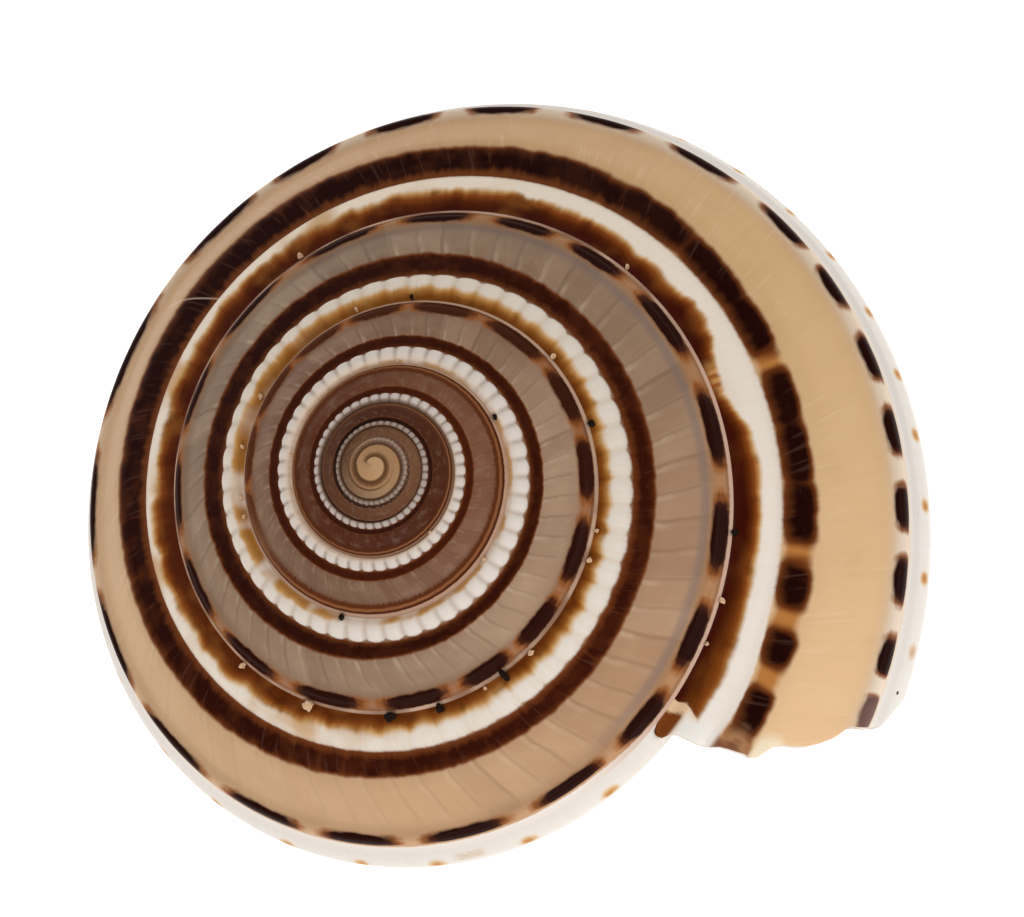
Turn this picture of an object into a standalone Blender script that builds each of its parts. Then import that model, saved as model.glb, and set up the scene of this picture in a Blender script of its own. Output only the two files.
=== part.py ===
"""A sundial shell, empty, lying on its base with the spire up.

The shell is one piece. A ring is the outline of the growing edge at one moment, and the
surface is a loft from each ring to the next. Every whorl starts on the one before it, so
the two share the vertices of the suture, the seam between them.
"""

from math import cos, exp, radians, sin

import bmesh
import bpy
from mathutils import Matrix, Vector

MM = 0.001

# Growth, measured back in turns from the lip. The rib is the beaded one above the suture,
# and its outer edge is what the other proportions are taken from.
RIB_RADIUS_AT_LIP = 23.58 * MM
GROWTH_PER_TURN = 0.3680
GROWTH_CHANGE = 0.0476
GROWTH_EARLY = 0.0054
SPIRE_SLOPE = 0.2612
SPIRE_DOMING = 14.1
LIP_ANGLE = 0.0

# The last whorl is a little narrower around the place where the shell has this size.
NARROW_SIZE = 0.878
NARROW_SPREAD = 0.075
NARROW_UPPER_RIB = 0.017
NARROW_EDGE = 0.030

RINGS_PER_TURN = 64
SLANT_RINGS = 3
WHORL_RINGS = RINGS_PER_TURN - SLANT_RINGS
LAST_RING = 380
FULL_DETAIL_RING = 2 * WHORL_RINGS
UMBILICUS_RING = 96
RING_ANGLE = 360.0 / RINGS_PER_TURN
SLANT = SLANT_RINGS * RING_ANGLE

SEAM_OUT = 0.33 * MM
SEAM_DOWN = 0.62 * MM
SEAM_LIMIT = 0.04
RIB_BEAD = 0.09 * MM
RIB_BEAD_LIMIT = 0.02
CORD_BEAD = 0.022
CORD = (0.415, 0.552, 8.0)
WALL_SHARES = ((0.26, 0.045), (0.78, 0.075))
APEX_HEIGHT = 0.25 * MM
UMBILICUS_TOP = 1.6 * MM

MOUTH_DEPTH_RINGS = 48
MOUTH_STEP_RINGS = 3
MOUTH_CENTRE = (0.80, 0.30)
LIP_THINNING = 1.045
PARIETAL_FIRST = 2

# How the shell lies: its spire leans this far, towards this side.
REST_TILT = radians(13.6)
REST_DIRECTION = radians(216.8)

SHELL_COLOUR = (0.72, 0.50, 0.28, 1.0)
SHELL_ROUGHNESS = 0.32


def rib_radius(turns):
    """Radius of the rib's outer edge, so many turns back from the lip."""
    steps = GROWTH_PER_TURN * turns + GROWTH_CHANGE * turns**2 - GROWTH_EARLY * turns**3
    return RIB_RADIUS_AT_LIP * exp(-steps)


def rib_depth(radius):
    """Depth of the rib's outer edge below the apex. The spire is a low dome."""
    return radius * (SPIRE_SLOPE + SPIRE_DOMING * radius)


def turns_at(ring, lag):
    """Turns back from the lip of a point that trails its ring by lag degrees."""
    return (LAST_RING - ring) / RINGS_PER_TURN + lag / 360.0


def cylindrical(ring, out, down, lag):
    """Radius, height and angle of a point given in units of the rib's radius."""
    turns = turns_at(ring, lag)
    radius = rib_radius(turns)
    angle = LIP_ANGLE + radians(360.0 * turns)
    return radius * out, -rib_depth(radius) - radius * down, angle


def point(radius, height, angle):
    return Vector((radius * cos(angle), radius * sin(angle), height))


def place(ring, key):
    return point(*cylindrical(ring, *key))


def between(first, second, share):
    return tuple(a + (b - a) * share for a, b in zip(first, second))


def size_at(ring, lag):
    """The rib's radius as a share of its radius at the lip."""
    return rib_radius(turns_at(ring, lag)) / RIB_RADIUS_AT_LIP


def narrowing(size):
    return exp(-(((size - NARROW_SIZE) / NARROW_SPREAD) ** 2))


def rib_keys(ring):
    """The beaded rib, from its inner foot to the groove outside it."""
    bead = min(RIB_BEAD_LIMIT, RIB_BEAD / rib_radius(turns_at(ring, 0.0)))
    if ring % 2:
        bead = -bead
    return [
        (0.912, -0.062, 0.3),
        (0.955, -0.052 + bead, 1.0),
        (0.994, -0.014 + bead, 2.0),
        (1.006, 0.010, 2.4),
    ]


def peripheral_rib(ring):
    """Inner and outer edges of the upper peripheral rib, which narrows as the shell grows."""
    size = size_at(ring, SLANT)
    narrow = NARROW_UPPER_RIB * narrowing(size)
    inner = (1.311 - 0.075 * size - narrow, 0.100 + 0.163 * size, SLANT - 1.5)
    outer = (1.428 - 0.164 * size - narrow, 0.137 + 0.182 * size, SLANT - 0.6)
    return inner, outer


def flank_keys(ring):
    """From the rib's groove over the flat band and the rounded shoulder to the upper rib."""
    inner, outer = peripheral_rib(ring)
    band = (1.095, 0.010 + 0.032 * size_at(ring, 0.0), 4.5)
    shoulder = between(band, inner, 0.52)
    shoulder = (shoulder[0], shoulder[1] - 0.016, shoulder[2])
    crest = between(inner, outer, 0.55)
    crest = (crest[0] + 0.010, crest[1] - 0.014, crest[2])
    return [band, shoulder, inner, crest, outer]


def seam_key(ring):
    """The line on a whorl where the next whorl starts, just below the upper rib."""
    outer = peripheral_rib(ring)[1]
    radius = rib_radius(turns_at(ring, SLANT))
    out = min(SEAM_LIMIT, SEAM_OUT / radius)
    down = min(SEAM_LIMIT * SEAM_DOWN / SEAM_OUT, SEAM_DOWN / radius)
    return outer[0] + out, outer[1] + down, SLANT


def base_keys(ring):
    """From the seam over the lower peripheral rib and the base to the umbilical cord."""
    size = size_at(ring, SLANT)
    edge = 1.553 - 0.265 * size - NARROW_EDGE * narrowing(size)
    return [
        (max(edge, seam_key(ring)[0]) - 0.004, 0.350, SLANT),
        (edge + 0.004, 0.392, SLANT + 0.6),
        (edge - 0.010, 0.436, SLANT + 1.0),
        (edge - 0.042, 0.452, SLANT + 1.0),
        (edge - 0.075, 0.486, SLANT + 0.5),
        (edge - 0.110, 0.486, SLANT),
        (1.04, 0.535, SLANT - 1.5),
        (0.86, 0.566, SLANT - 3.5),
        (0.68, 0.580, SLANT - 5.5),
        (0.545, 0.568, SLANT - 7.2),
        (0.500, 0.545, SLANT - 8.0),
        (0.462, 0.566, SLANT - 8.5),
    ]


def cord_key(ring):
    """The crenulated cord round the umbilicus."""
    out, down, lag = CORD
    bead = CORD_BEAD if ring % 2 else 0.0
    return out - bead, down + 0.4 * bead, lag


def wall_points(ring):
    """The umbilical wall, from the cord of the whorl before down to this whorl's own."""
    upper = cylindrical(ring - WHORL_RINGS, *CORD)
    lower = cylindrical(ring, *CORD)
    # The earlier cord is reached a turn back, so its angle is a turn behind.
    upper = (upper[0], upper[1], upper[2] - radians(360.0))
    points = []
    for share, hollow in WALL_SHARES:
        radius, height, angle = between(upper, lower, share)
        points.append(point(radius + hollow * lower[0], height, angle))
    return points


def mouth_keys(thinning):
    """The smooth inner face of the whorl, from beside the suture round to the umbilicus."""
    keys = [
        (0.985, 0.045, 1.5),
        (1.085, 0.085, 4.0),
        (1.175, 0.175, 9.0),
        (1.225, 0.285, 13.0),
        (1.215, 0.385, SLANT),
        (1.120, 0.468, SLANT - 1.0),
        (0.960, 0.510, SLANT - 3.0),
        (0.780, 0.530, SLANT - 5.0),
        (0.600, 0.530, SLANT - 7.0),
        (0.490, 0.500, SLANT - 8.5),
        (0.440, 0.430, 6.0),
        (0.400, 0.310, 2.0),
        (0.350, 0.190, -3.0),
    ]
    middle_out, middle_down = MOUTH_CENTRE
    return [
        (middle_out + (out - middle_out) * thinning, middle_down + (down - middle_down) * thinning, lag)
        for out, down, lag in keys
    ]


def add_chain(bm, points):
    return [bm.verts.new(position) for position in points]


def loft(bm, first, second):
    """Faces from one chain of vertices to the next, which may have another number of them."""
    i = j = 0
    last_i, last_j = len(first) - 1, len(second) - 1
    while (i, j) != (last_i, last_j):
        ahead = (i + 1) * last_j - (j + 1) * last_i
        corners = [first[i], second[j]]
        step_i = i < last_i and (ahead <= 0 or j == last_j)
        if j < last_j and (ahead >= 0 or i == last_i):
            j += 1
            corners.append(second[j])
        if step_i:
            i += 1
            corners.append(first[i])
        bm.faces.new(corners)


def upper_chain(bm, ring, seam):
    """One ring of the visible spire: the seam on the whorl before, the rib, the flank, the next seam."""
    flank = flank_keys(ring)
    keys = rib_keys(ring) + flank
    if ring < FULL_DETAIL_RING:
        keys = [keys[1], keys[3], flank[1], flank[3]]
    keys.append(seam_key(ring))
    return [seam] + add_chain(bm, [place(ring, key) for key in keys])


def add_spire(bm):
    """The whorls seen from above. Returns each ring's chain of vertices."""
    apex = bm.verts.new((0.0, 0.0, APEX_HEIGHT - rib_depth(rib_radius(turns_at(0, 0.0)))))
    rims = add_chain(bm, [place(ring, seam_key(ring)) for ring in range(WHORL_RINGS)])
    for first, second in zip(rims, rims[1:]):
        bm.faces.new((apex, first, second))
    chains = {ring: [rim] for ring, rim in enumerate(rims)}
    for ring in range(WHORL_RINGS, LAST_RING + 1):
        chains[ring] = upper_chain(bm, ring, chains[ring - WHORL_RINGS][-1])
        if ring > WHORL_RINGS:
            loft(bm, chains[ring - 1], chains[ring])
    bm.faces.new([apex, rims[-1]] + chains[WHORL_RINGS][::-1])
    return chains


def add_base(bm, spire, cords):
    """The last whorl's periphery and base, from its seam line to the umbilical cord."""
    chains = {}
    for ring in range(LAST_RING - WHORL_RINGS, LAST_RING + 1):
        middle = add_chain(bm, [place(ring, key) for key in base_keys(ring)])
        chains[ring] = [spire[ring][-1]] + middle + [cords[ring]]
        if ring > LAST_RING - WHORL_RINGS:
            loft(bm, chains[ring - 1], chains[ring])
    return chains


def add_umbilicus(bm, cords):
    """The open umbilicus: each whorl's wall hangs from the cord of the whorl before."""
    first = UMBILICUS_RING
    highest = cords[first].co.z + UMBILICUS_TOP
    top = bm.verts.new((0.0, 0.0, highest))
    for ring in range(first, first + WHORL_RINGS - 1):
        bm.faces.new((cords[ring], top, cords[ring + 1]))
    chains = {}
    for ring in range(first + WHORL_RINGS, LAST_RING + 1):
        chains[ring] = [cords[ring]] + add_chain(bm, wall_points(ring)[::-1]) + [cords[ring - WHORL_RINGS]]
        if ring > first + WHORL_RINGS:
            loft(bm, chains[ring - 1], chains[ring])
    bm.faces.new([cords[first + WHORL_RINGS - 1], top] + chains[first + WHORL_RINGS][::-1])
    return chains


def inner_loop(bm, ring, thinning, parietal):
    """A closed loop round the hollow: its smooth outer side, then the base of the whorl before."""
    middle = add_chain(bm, [place(ring, key) for key in mouth_keys(thinning)])
    return [parietal[0]] + middle + parietal[:0:-1]


def add_mouth(bm, spire, base, wall):
    """The lip's edge and the hollow behind it, which follows the whorl back to a closed end."""
    before = base[LAST_RING - WHORL_RINGS]
    outer = spire[LAST_RING] + base[LAST_RING][1:] + wall[LAST_RING][1:]
    parietal = before[PARIETAL_FIRST:-1]
    loop = inner_loop(bm, LAST_RING, LIP_THINNING, parietal)
    inner = before[1 : PARIETAL_FIRST + 1] + loop[1 : len(loop) - len(parietal) + 2]
    loft(bm, outer, inner)
    for ring in range(LAST_RING - MOUTH_STEP_RINGS, LAST_RING - MOUTH_DEPTH_RINGS - 1, -MOUTH_STEP_RINGS):
        keys = base_keys(ring - WHORL_RINGS)[PARIETAL_FIRST - 1 :]
        deeper_parietal = add_chain(bm, [place(ring - WHORL_RINGS, key) for key in keys])
        deeper = inner_loop(bm, ring, 1.0, deeper_parietal)
        for k in range(len(loop)):
            bm.faces.new((loop[k - 1], loop[k], deeper[k], deeper[k - 1]))
        loop = deeper
    end = sum((vertex.co for vertex in loop), Vector()) / len(loop)
    tip = bm.verts.new(end)
    for k in range(len(loop)):
        bm.faces.new((loop[k - 1], loop[k], tip))


def shell_material():
    material = bpy.data.materials.new("shell_surface")
    material.use_nodes = True
    shader = material.node_tree.nodes["Principled BSDF"]
    shader.inputs["Base Color"].default_value = SHELL_COLOUR
    shader.inputs["Roughness"].default_value = SHELL_ROUGHNESS
    shader.inputs["Metallic"].default_value = 0.0
    return material


def lay_on_base(bm):
    """Tips the shell as it rests, then puts its lowest point on z = 0 under its middle."""
    axis = Vector((-sin(REST_DIRECTION), cos(REST_DIRECTION), 0.0))
    bmesh.ops.rotate(bm, matrix=Matrix.Rotation(REST_TILT, 3, axis), verts=bm.verts)
    x, y, z = zip(*(vertex.co for vertex in bm.verts))
    middle = Vector((min(x) + max(x), min(y) + max(y), 2 * min(z))) / 2
    bmesh.ops.translate(bm, vec=-middle, verts=bm.verts)


def build_shell(collection):
    bm = bmesh.new()
    spire = add_spire(bm)
    cord_rings = range(UMBILICUS_RING, LAST_RING + 1)
    cords = {ring: bm.verts.new(place(ring, cord_key(ring))) for ring in cord_rings}
    base = add_base(bm, spire, cords)
    wall = add_umbilicus(bm, cords)
    add_mouth(bm, spire, base, wall)
    bmesh.ops.triangulate(bm, faces=[face for face in bm.faces if len(face.verts) > 4])
    bmesh.ops.recalc_face_normals(bm, faces=bm.faces)
    lay_on_base(bm)
    mesh = bpy.data.meshes.new("shell")
    bm.to_mesh(mesh)
    bm.free()
    mesh.shade_smooth()
    mesh.materials.append(shell_material())
    shell = bpy.data.objects.new("shell", mesh)
    collection.objects.link(shell)


def main():
    for item in list(bpy.data.objects):
        bpy.data.objects.remove(item, do_unlink=True)
    collection = bpy.data.collections.new("sundial_shell")
    bpy.context.scene.collection.children.link(collection)
    build_shell(collection)


if __name__ == "__main__":
    main()
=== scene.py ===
"""The looks of a sundial shell, laid out as an add-on and run as a script.

The shell is grown, not drawn. A growth line is the outline of the growing edge at one moment,
and a station is a place along that line. Every point of the surface follows from those two.
"""

from math import cos, exp, pi, radians, sin

import bpy
from mathutils import Matrix, Vector


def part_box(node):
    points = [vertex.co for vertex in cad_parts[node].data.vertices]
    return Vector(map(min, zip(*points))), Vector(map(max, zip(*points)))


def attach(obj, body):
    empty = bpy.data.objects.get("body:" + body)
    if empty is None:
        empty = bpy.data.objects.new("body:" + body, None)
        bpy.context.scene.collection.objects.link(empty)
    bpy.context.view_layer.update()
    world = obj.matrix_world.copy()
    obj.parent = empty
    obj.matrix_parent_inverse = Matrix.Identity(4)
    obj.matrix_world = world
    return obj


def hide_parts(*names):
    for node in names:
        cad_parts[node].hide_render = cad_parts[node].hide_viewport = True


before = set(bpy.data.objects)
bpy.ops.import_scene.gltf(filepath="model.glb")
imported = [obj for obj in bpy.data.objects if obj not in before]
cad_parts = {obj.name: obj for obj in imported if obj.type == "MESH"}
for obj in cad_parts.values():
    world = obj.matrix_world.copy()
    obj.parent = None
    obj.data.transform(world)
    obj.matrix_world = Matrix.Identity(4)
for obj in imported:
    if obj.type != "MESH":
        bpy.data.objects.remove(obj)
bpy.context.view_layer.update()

bl_info = {
    "name": "Sundial shell",
    "version": (1, 0, 0),
    "blender": (4, 5, 0),
    "location": "View3D > Sidebar > Sundial shell",
    "description": "Grows a sundial shell with its colours, its sand and a small photo studio",
    "category": "Add Mesh",
}

MM = 0.001

# Angles run along the growth, in degrees, and the lip's suture is reached at LIP_TURN.
LIP_TURN = 1844.0
LINES_PER_TURN = 384
LINE_ANGLE = 360.0 / LINES_PER_TURN
# A growth line slants, so that its outer end lies so many lines behind its end at the suture.
SLANT_LINES = 18
WHORL_LINES = LINES_PER_TURN - SLANT_LINES
LAST_LINE = 2880
# The marks left by old lips slant less than the lines of the mesh do.
MARKS_SLANT = 0.35

# The innermost whorls have fewer lines and fewer stations.
FINE_LINE = 992
COARSE_STEP = 2
COARSE_COLUMNS = 10
# The first whorls, so many turns back from the lip, are wound more tightly.
TIGHT_FROM_TURN = 5.0
TIGHTENING = 0.155
APEX_RISE = 0.10 * MM

UPPER_COLUMNS = 34
BASE_COLUMNS = 22
WALL_COLUMNS = 5
OUTER_COLUMNS = UPPER_COLUMNS + BASE_COLUMNS + WALL_COLUMNS
# The stations of the lip and of the inside are counted from here for their colours.
INSIDE_STATION = 100.0
# Points that are nearer to each other than this are the same point of two patches.
MERGE_DISTANCE = 0.0004 * MM

# The last whorl is a little narrower around the place where the shell has this size.
NARROW_SIZE = 0.878
NARROW_SPREAD = 0.075
NARROW_UPPER_RIB = 0.017
NARROW_EDGE = 0.030
# Reach of the base's edge on the first whorls, and what the shell's full size adds to it.
EDGE_YOUNG = 1.553
EDGE_CHANGE = -0.265
# The seam stands out by this share of the radius at most, and drops so many times as far.
SEAM_LIMIT = 0.04
SEAM_DROP = 0.62 / 0.33

# Station, reach when young, reach when grown, depth when young, depth when grown, lag.
# Reach and depth are in units of the rib's radius, and the lag is in degrees.
UPPER_SECTION = (
    (0, 0.862, 0.886, -0.040, -0.066, 0.0),
    (3, 0.912, 0.912, -0.062, -0.066, 0.3),
    (5, 0.934, 0.934, -0.061, -0.062, 0.6),
    (7, 0.955, 0.955, -0.052, -0.052, 1.0),
    (9, 0.976, 0.976, -0.037, -0.037, 1.5),
    (11, 0.992, 0.992, -0.018, -0.018, 2.0),
    (12, 0.998, 0.998, -0.004, -0.004, 2.2),
    (13, 1.004, 1.004, 0.010, 0.010, 2.4),
    (14, 1.018, 1.018, 0.012, 0.014, 2.7),
    (18, 1.095, 1.095, 0.010, 0.042, 4.5),
    (23, 1.207, 1.168, 0.041, 0.141, 10.1),
    (26, 1.286, 1.221, 0.088, 0.238, 14.3),
    (27, 1.311, 1.236, 0.100, 0.263, 15.4),
    (29, 1.372, 1.258, 0.101, 0.272, 15.8),
    (30, 1.394, 1.266, 0.110, 0.285, 16.0),
    (32, 1.428, 1.264, 0.137, 0.319, 16.3),
    (33, 1.430, 1.262, 0.142, 0.326, 16.6),
    (34, 1.428, 1.264, 0.137, 0.319, 16.875),
)

# Station, share of the edge's reach, added reach, depth, lag.
BASE_SECTION = (
    (0, 1.0, -0.010, 0.345, 16.9),
    (1, 1.0, -0.004, 0.352, 16.9),
    (3, 1.0, 0.004, 0.392, 17.5),
    (5, 1.0, -0.010, 0.436, 17.9),
    (7, 1.0, -0.042, 0.452, 17.9),
    (8.5, 1.0, -0.075, 0.486, 17.4),
    (10, 1.0, -0.110, 0.486, 16.9),
    (13, 0.0, 1.040, 0.535, 15.4),
    (16, 0.0, 0.860, 0.566, 13.4),
    (18, 0.0, 0.680, 0.580, 11.4),
    (19, 0.0, 0.545, 0.568, 9.7),
    (20, 0.0, 0.500, 0.545, 8.9),
    (21, 0.0, 0.462, 0.566, 8.4),
    (22, 0.0, 0.415, 0.552, 8.0),
)
# The umbilical cord is where the base ends.
CORD_REACH, CORD_DEPTH, CORD_LAG = BASE_SECTION[-1][2:]

# Share of the way up the umbilicus, hollow in units of the lower whorl's radius.
WALL_SECTION = ((0.0, 0.0), (0.22, 0.075), (0.74, 0.045), (1.0, 0.0))
WALL_FIRST_LINE = 1176
# How far above its first cord the umbilicus closes.
UMBILICUS_TOP = 1.6 * MM

# Station beside the outer wall, reach, depth and lag of the smooth face inside the whorl.
INNER_SECTION = (
    (0, 0.914, -0.014, 0.0),
    (8, 0.985, 0.045, 1.5),
    (18, 1.085, 0.085, 4.0),
    (24, 1.175, 0.175, 9.0),
    (30, 1.225, 0.285, 13.0),
    (37, 1.215, 0.385, 16.9),
    (43, 1.120, 0.468, 15.9),
    (48, 0.960, 0.510, 13.9),
    (51, 0.780, 0.530, 11.9),
    (53.5, 0.600, 0.530, 9.9),
    (55.5, 0.490, 0.500, 8.4),
    (57, 0.440, 0.430, 6.0),
    (58.5, 0.400, 0.310, 2.0),
    (60, 0.350, 0.190, -3.0),
    (61, 0.330, 0.087, -8.0),
)
# Reach, depth and lag of the middle of the whorl's hollow.
MOUTH_CENTRE = (0.80, 0.30, 8.0)
# The hollow has this many rows of faces, each so many growth lines farther from the lip.
HOLLOW_ROWS = 36
HOLLOW_STEP = 8
# Its roof is the base of the whorl before, between these stations.
PARIETAL_FIRST = 2
PARIETAL_LAST = 20

# Station, and how far the broken edge of the lip stands forward there, in degrees.
LIP_CHIPS = (
    (0, 0.0),
    (1, 1.6),
    (3, 2.0),
    (5, 0.6),
    (7, 0.0),
    (9, 0.1),
    (12, 0.3),
    (14, 0.1),
    (16, -0.6),
    (18, -0.4),
    (18.6, 0.2),
    (20, 0.3),
    (20.6, -0.9),
    (21.5, -0.6),
    (23, 0.5),
    (25, 1.2),
    (26, 1.0),
    (27, 0.1),
    (30, -0.1),
    (34, -0.2),
    (36, -2.0),
    (38, -3.6),
    (40, -4.2),
    (44, -3.0),
    (48, -1.5),
    (52, 0.4),
    (55, 0.0),
    (61, 0.0),
)
CHIPPED_LINES = 18

# Growth angle, and height of the beads of the rib in millimetres.
BEAD_HEIGHTS = (
    (-160, 0.0),
    (0, 0.03),
    (120, 0.05),
    (250, 0.075),
    (450, 0.11),
    (700, 0.15),
    (1000, 0.17),
    (1300, 0.17),
    (1450, 0.13),
    (1600, 0.07),
    (1700, 0.015),
    (1844, 0.0),
)
# Degrees from one bead or wrinkle to the next at growth angle 0, and how fast that shrinks.
BEAD_SPACING = (9.3, 0.0017)
WRINKLE_SPACING = (8.1, 0.0014)
BEAD_SHARPNESS = 0.7
PAINTED_SHARPNESS = 0.9
# The level of a ridge, from 0 to 1, that lies on the plain surface.
RELIEF_MIDDLE = 0.6
WRINKLE_HEIGHTS = (
    (300, 0.0),
    (540, 0.05),
    (1200, 0.06),
    (1350, 0.035),
    (1500, 0.012),
    (1844, 0.008),
)
# Station, how much of the beads and of the wrinkles shows there.
BEAD_SHARE = ((0, 0.0), (2, 0.25), (5, 0.85), (8, 1.0), (11, 0.8), (13, 0.0), (34, 0.0))
WRINKLE_SHARE = (
    (0, 0.0), (13, 0.0), (15, 0.3), (19, 1.0), (24, 0.9), (27, 0.3), (30, 0.6), (33, 0.0), (34, 0.0),
)
# Station, and the outward and upward share of the surface's direction there.
OUTWARD = (
    (0, -0.2), (5, -0.15), (9, 0.35), (12, 0.75), (14, 0.1), (18, 0.3), (23, 0.7), (27, 0.85),
    (32, 1.0), (34, 1.0),
)
UPWARD = (
    (0, 0.9), (7, 1.0), (11, 0.8), (14, 0.98), (18, 0.95), (23, 0.7), (27, 0.5), (32, 0.1), (34, 0.0),
)

REST_TILT = radians(13.6)
REST_DIRECTION = radians(216.8)

# The photograph's view, in the frame where its right is +X, its up +Y and the spire +Z.
PIXELS_PER_MM = 16.0
IMAGE_SIZE = (1024, 917)
APEX_PIXEL = (371.86, 465.55)
PHOTO_TURN = radians(44.0)
VIEW_TILT = radians(22.59)
VIEW_SIDE = radians(28.66)
CAMERA_DISTANCE = 0.4
CAMERA_SIGHT = 5.0

# Name, direction round the object in the photograph's view, height angle, share of the power.
LAMPS = (
    ("lamp_left", 150.0, 36.0, 0.38),
    ("lamp_right", 352.0, 34.0, 0.9),
    ("lamp_back", 88.0, 34.0, 0.30),
    ("lamp_front", 262.0, 34.0, 1.0),
)
LAMP_DISTANCE = 0.5
LAMP_SIZE = 0.36
FLOOR_SIZE = 3.0


class Signal:
    """An output socket of a node tree, which takes part in sums as a number does.

    A Mix node's inputs go by number: 0 is the share, 2 and 3 are the numbers that it mixes,
    4 and 5 the vectors, 6 and 7 the colours.
    """

    def __init__(self, tree, socket=None):
        self.tree = tree
        self.socket = socket

    def node(self, kind, settings=None, inputs=None, output=0):
        """Adds any node: first its settings, then the values or links of its sockets."""
        made = self.tree.nodes.new(kind)
        for name, value in (settings or {}).items():
            if name == "points":
                set_curve(made, value)
            elif name == "stops":
                set_ramp(made, value)
            else:
                setattr(made, name, value)
        for name, value in (inputs or {}).items():
            if isinstance(value, Signal):
                self.tree.links.new(value.socket, made.inputs[name])
            else:
                made.inputs[name].default_value = value
        return Signal(self.tree, made.outputs[output])

    def output(self, name):
        """Another output of the same node."""
        return Signal(self.tree, self.socket.node.outputs[name])

    def math(self, operation, *others):
        """This number and any others, put through one operation."""
        return self.node("ShaderNodeMath", {"operation": operation}, dict(enumerate((self,) + others)))

    def __add__(self, other):
        return self.math("ADD", other)

    __radd__ = __add__

    def __sub__(self, other):
        return self.math("SUBTRACT", other)

    def __rsub__(self, other):
        return self.node("ShaderNodeMath", {"operation": "SUBTRACT"}, {0: other, 1: self})

    def __mul__(self, other):
        return self.math("MULTIPLY", other)

    __rmul__ = __mul__

    def __truediv__(self, other):
        return self.math("DIVIDE", other)

    def __rtruediv__(self, other):
        return self.node("ShaderNodeMath", {"operation": "DIVIDE"}, {0: other, 1: self})

    def __pow__(self, other):
        return self.math("POWER", other)

    def __gt__(self, other):
        return self.math("GREATER_THAN", other)

    def __lt__(self, other):
        return self.math("LESS_THAN", other)

    def vector(self, operation, other):
        """This vector and another one, or three numbers, put through one vector operation."""
        return self.node("ShaderNodeVectorMath", {"operation": operation}, {0: self, 1: other})

    def scaled(self, factor):
        """This vector times a number."""
        return self.node("ShaderNodeVectorMath", {"operation": "SCALE"}, {0: self, "Scale": factor})

    def ramp(self, low, high):
        """0 below low and 1 above high, with a soft start and end."""
        inputs = {"Value": self, "From Min": low, "From Max": high}
        return self.node("ShaderNodeMapRange", {"interpolation_type": "SMOOTHSTEP"}, inputs)

    def fall(self, low, high):
        """1 below low and 0 above high, with a soft start and end."""
        return 1.0 - self.ramp(low, high)

    def near(self, centre, inner, outer):
        """1 closer to the centre than the inner distance, and 0 farther than the outer one."""
        return (self - centre).math("ABSOLUTE").fall(inner, outer)

    def curve(self, points):
        """A smooth curve through the (x, y) points, read at this value."""
        first, last = points[0][0], points[-1][0]
        heights = [y for _, y in points]
        low = min(heights)
        span = (max(heights) - low) or 1.0
        stops = [((x - first) / (last - first), (y - low) / span) for x, y in points]
        share = (self - first) / (last - first)
        return share.node("ShaderNodeFloatCurve", {"points": stops}, {"Value": share}) * span + low

    def mixed(self, other, share):
        """This number at share 0 and the other at share 1."""
        return self.node("ShaderNodeMix", {"data_type": "FLOAT"}, {0: share, 2: self, 3: other})

    def mixed_colour(self, other, share):
        """This colour at share 0 and the other, a link or three numbers, at share 1."""
        if not isinstance(other, Signal):
            other = tuple(other) + (1.0,)
        return self.node("ShaderNodeMix", {"data_type": "RGBA"}, {0: share, 6: self, 7: other}, 2)

    def mixed_vector(self, other, share):
        """This vector at share 0 and the other at share 1."""
        return self.node("ShaderNodeMix", {"data_type": "VECTOR"}, {0: share, 4: self, 5: other}, 1)


def set_curve(node, points):
    """Gives a Float Curve node its points, which run from 0 to 1 both ways."""
    curve = node.mapping.curves[0]
    node.mapping.extend = "HORIZONTAL"
    curve.points[0].location = points[0]
    curve.points[1].location = points[-1]
    for x, y in points[1:-1]:
        curve.points.new(x, y)
    for point in curve.points:
        point.handle_type = "AUTO_CLAMPED"
    node.mapping.update()


def set_ramp(node, stops):
    """Gives a Color Ramp node its colours."""
    ramp = node.color_ramp
    while len(ramp.elements) > 1:
        ramp.elements.remove(ramp.elements[-1])
    ramp.elements[0].position = stops[0][0]
    ramp.elements[0].color = tuple(stops[0][1]) + (1.0,)
    for position, colour in stops[1:]:
        ramp.elements.new(position).color = tuple(colour) + (1.0,)


def phase(growth, spacing):
    """A number that rises by one from each bead or wrinkle to the next."""
    wide, change = spacing
    return (wide - growth * change).math("LOGARITHM", exp(1.0)) * (-1.0 / change)


def ridges(growth, spacing, sharpness):
    """Rounded ridges between narrow grooves, from 0 to 1."""
    wave = (phase(growth, spacing) * pi).math("SINE")
    return wave.math("ABSOLUTE") ** sharpness


def above(signal, level):
    """What a value has above a level, and 0 below it."""
    return (signal - level).math("MAXIMUM", 0.0)


class Place:
    """Where a point of the surface is, and what the colours need to know about it.

    Turn is its own growth angle, growth is that of the marks through it, and reach is its
    distance from the axis in units of the rib's radius.
    """

    def __init__(self, position, turn, growth, reach):
        self.position = position
        self.turn = turn
        self.growth = growth
        self.reach = reach


PLACE_OUTPUTS = {
    "Position": "NodeSocketVector",
    "Turn": "NodeSocketFloat",
    "Growth": "NodeSocketFloat",
    "Reach": "NodeSocketFloat",
}


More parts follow.
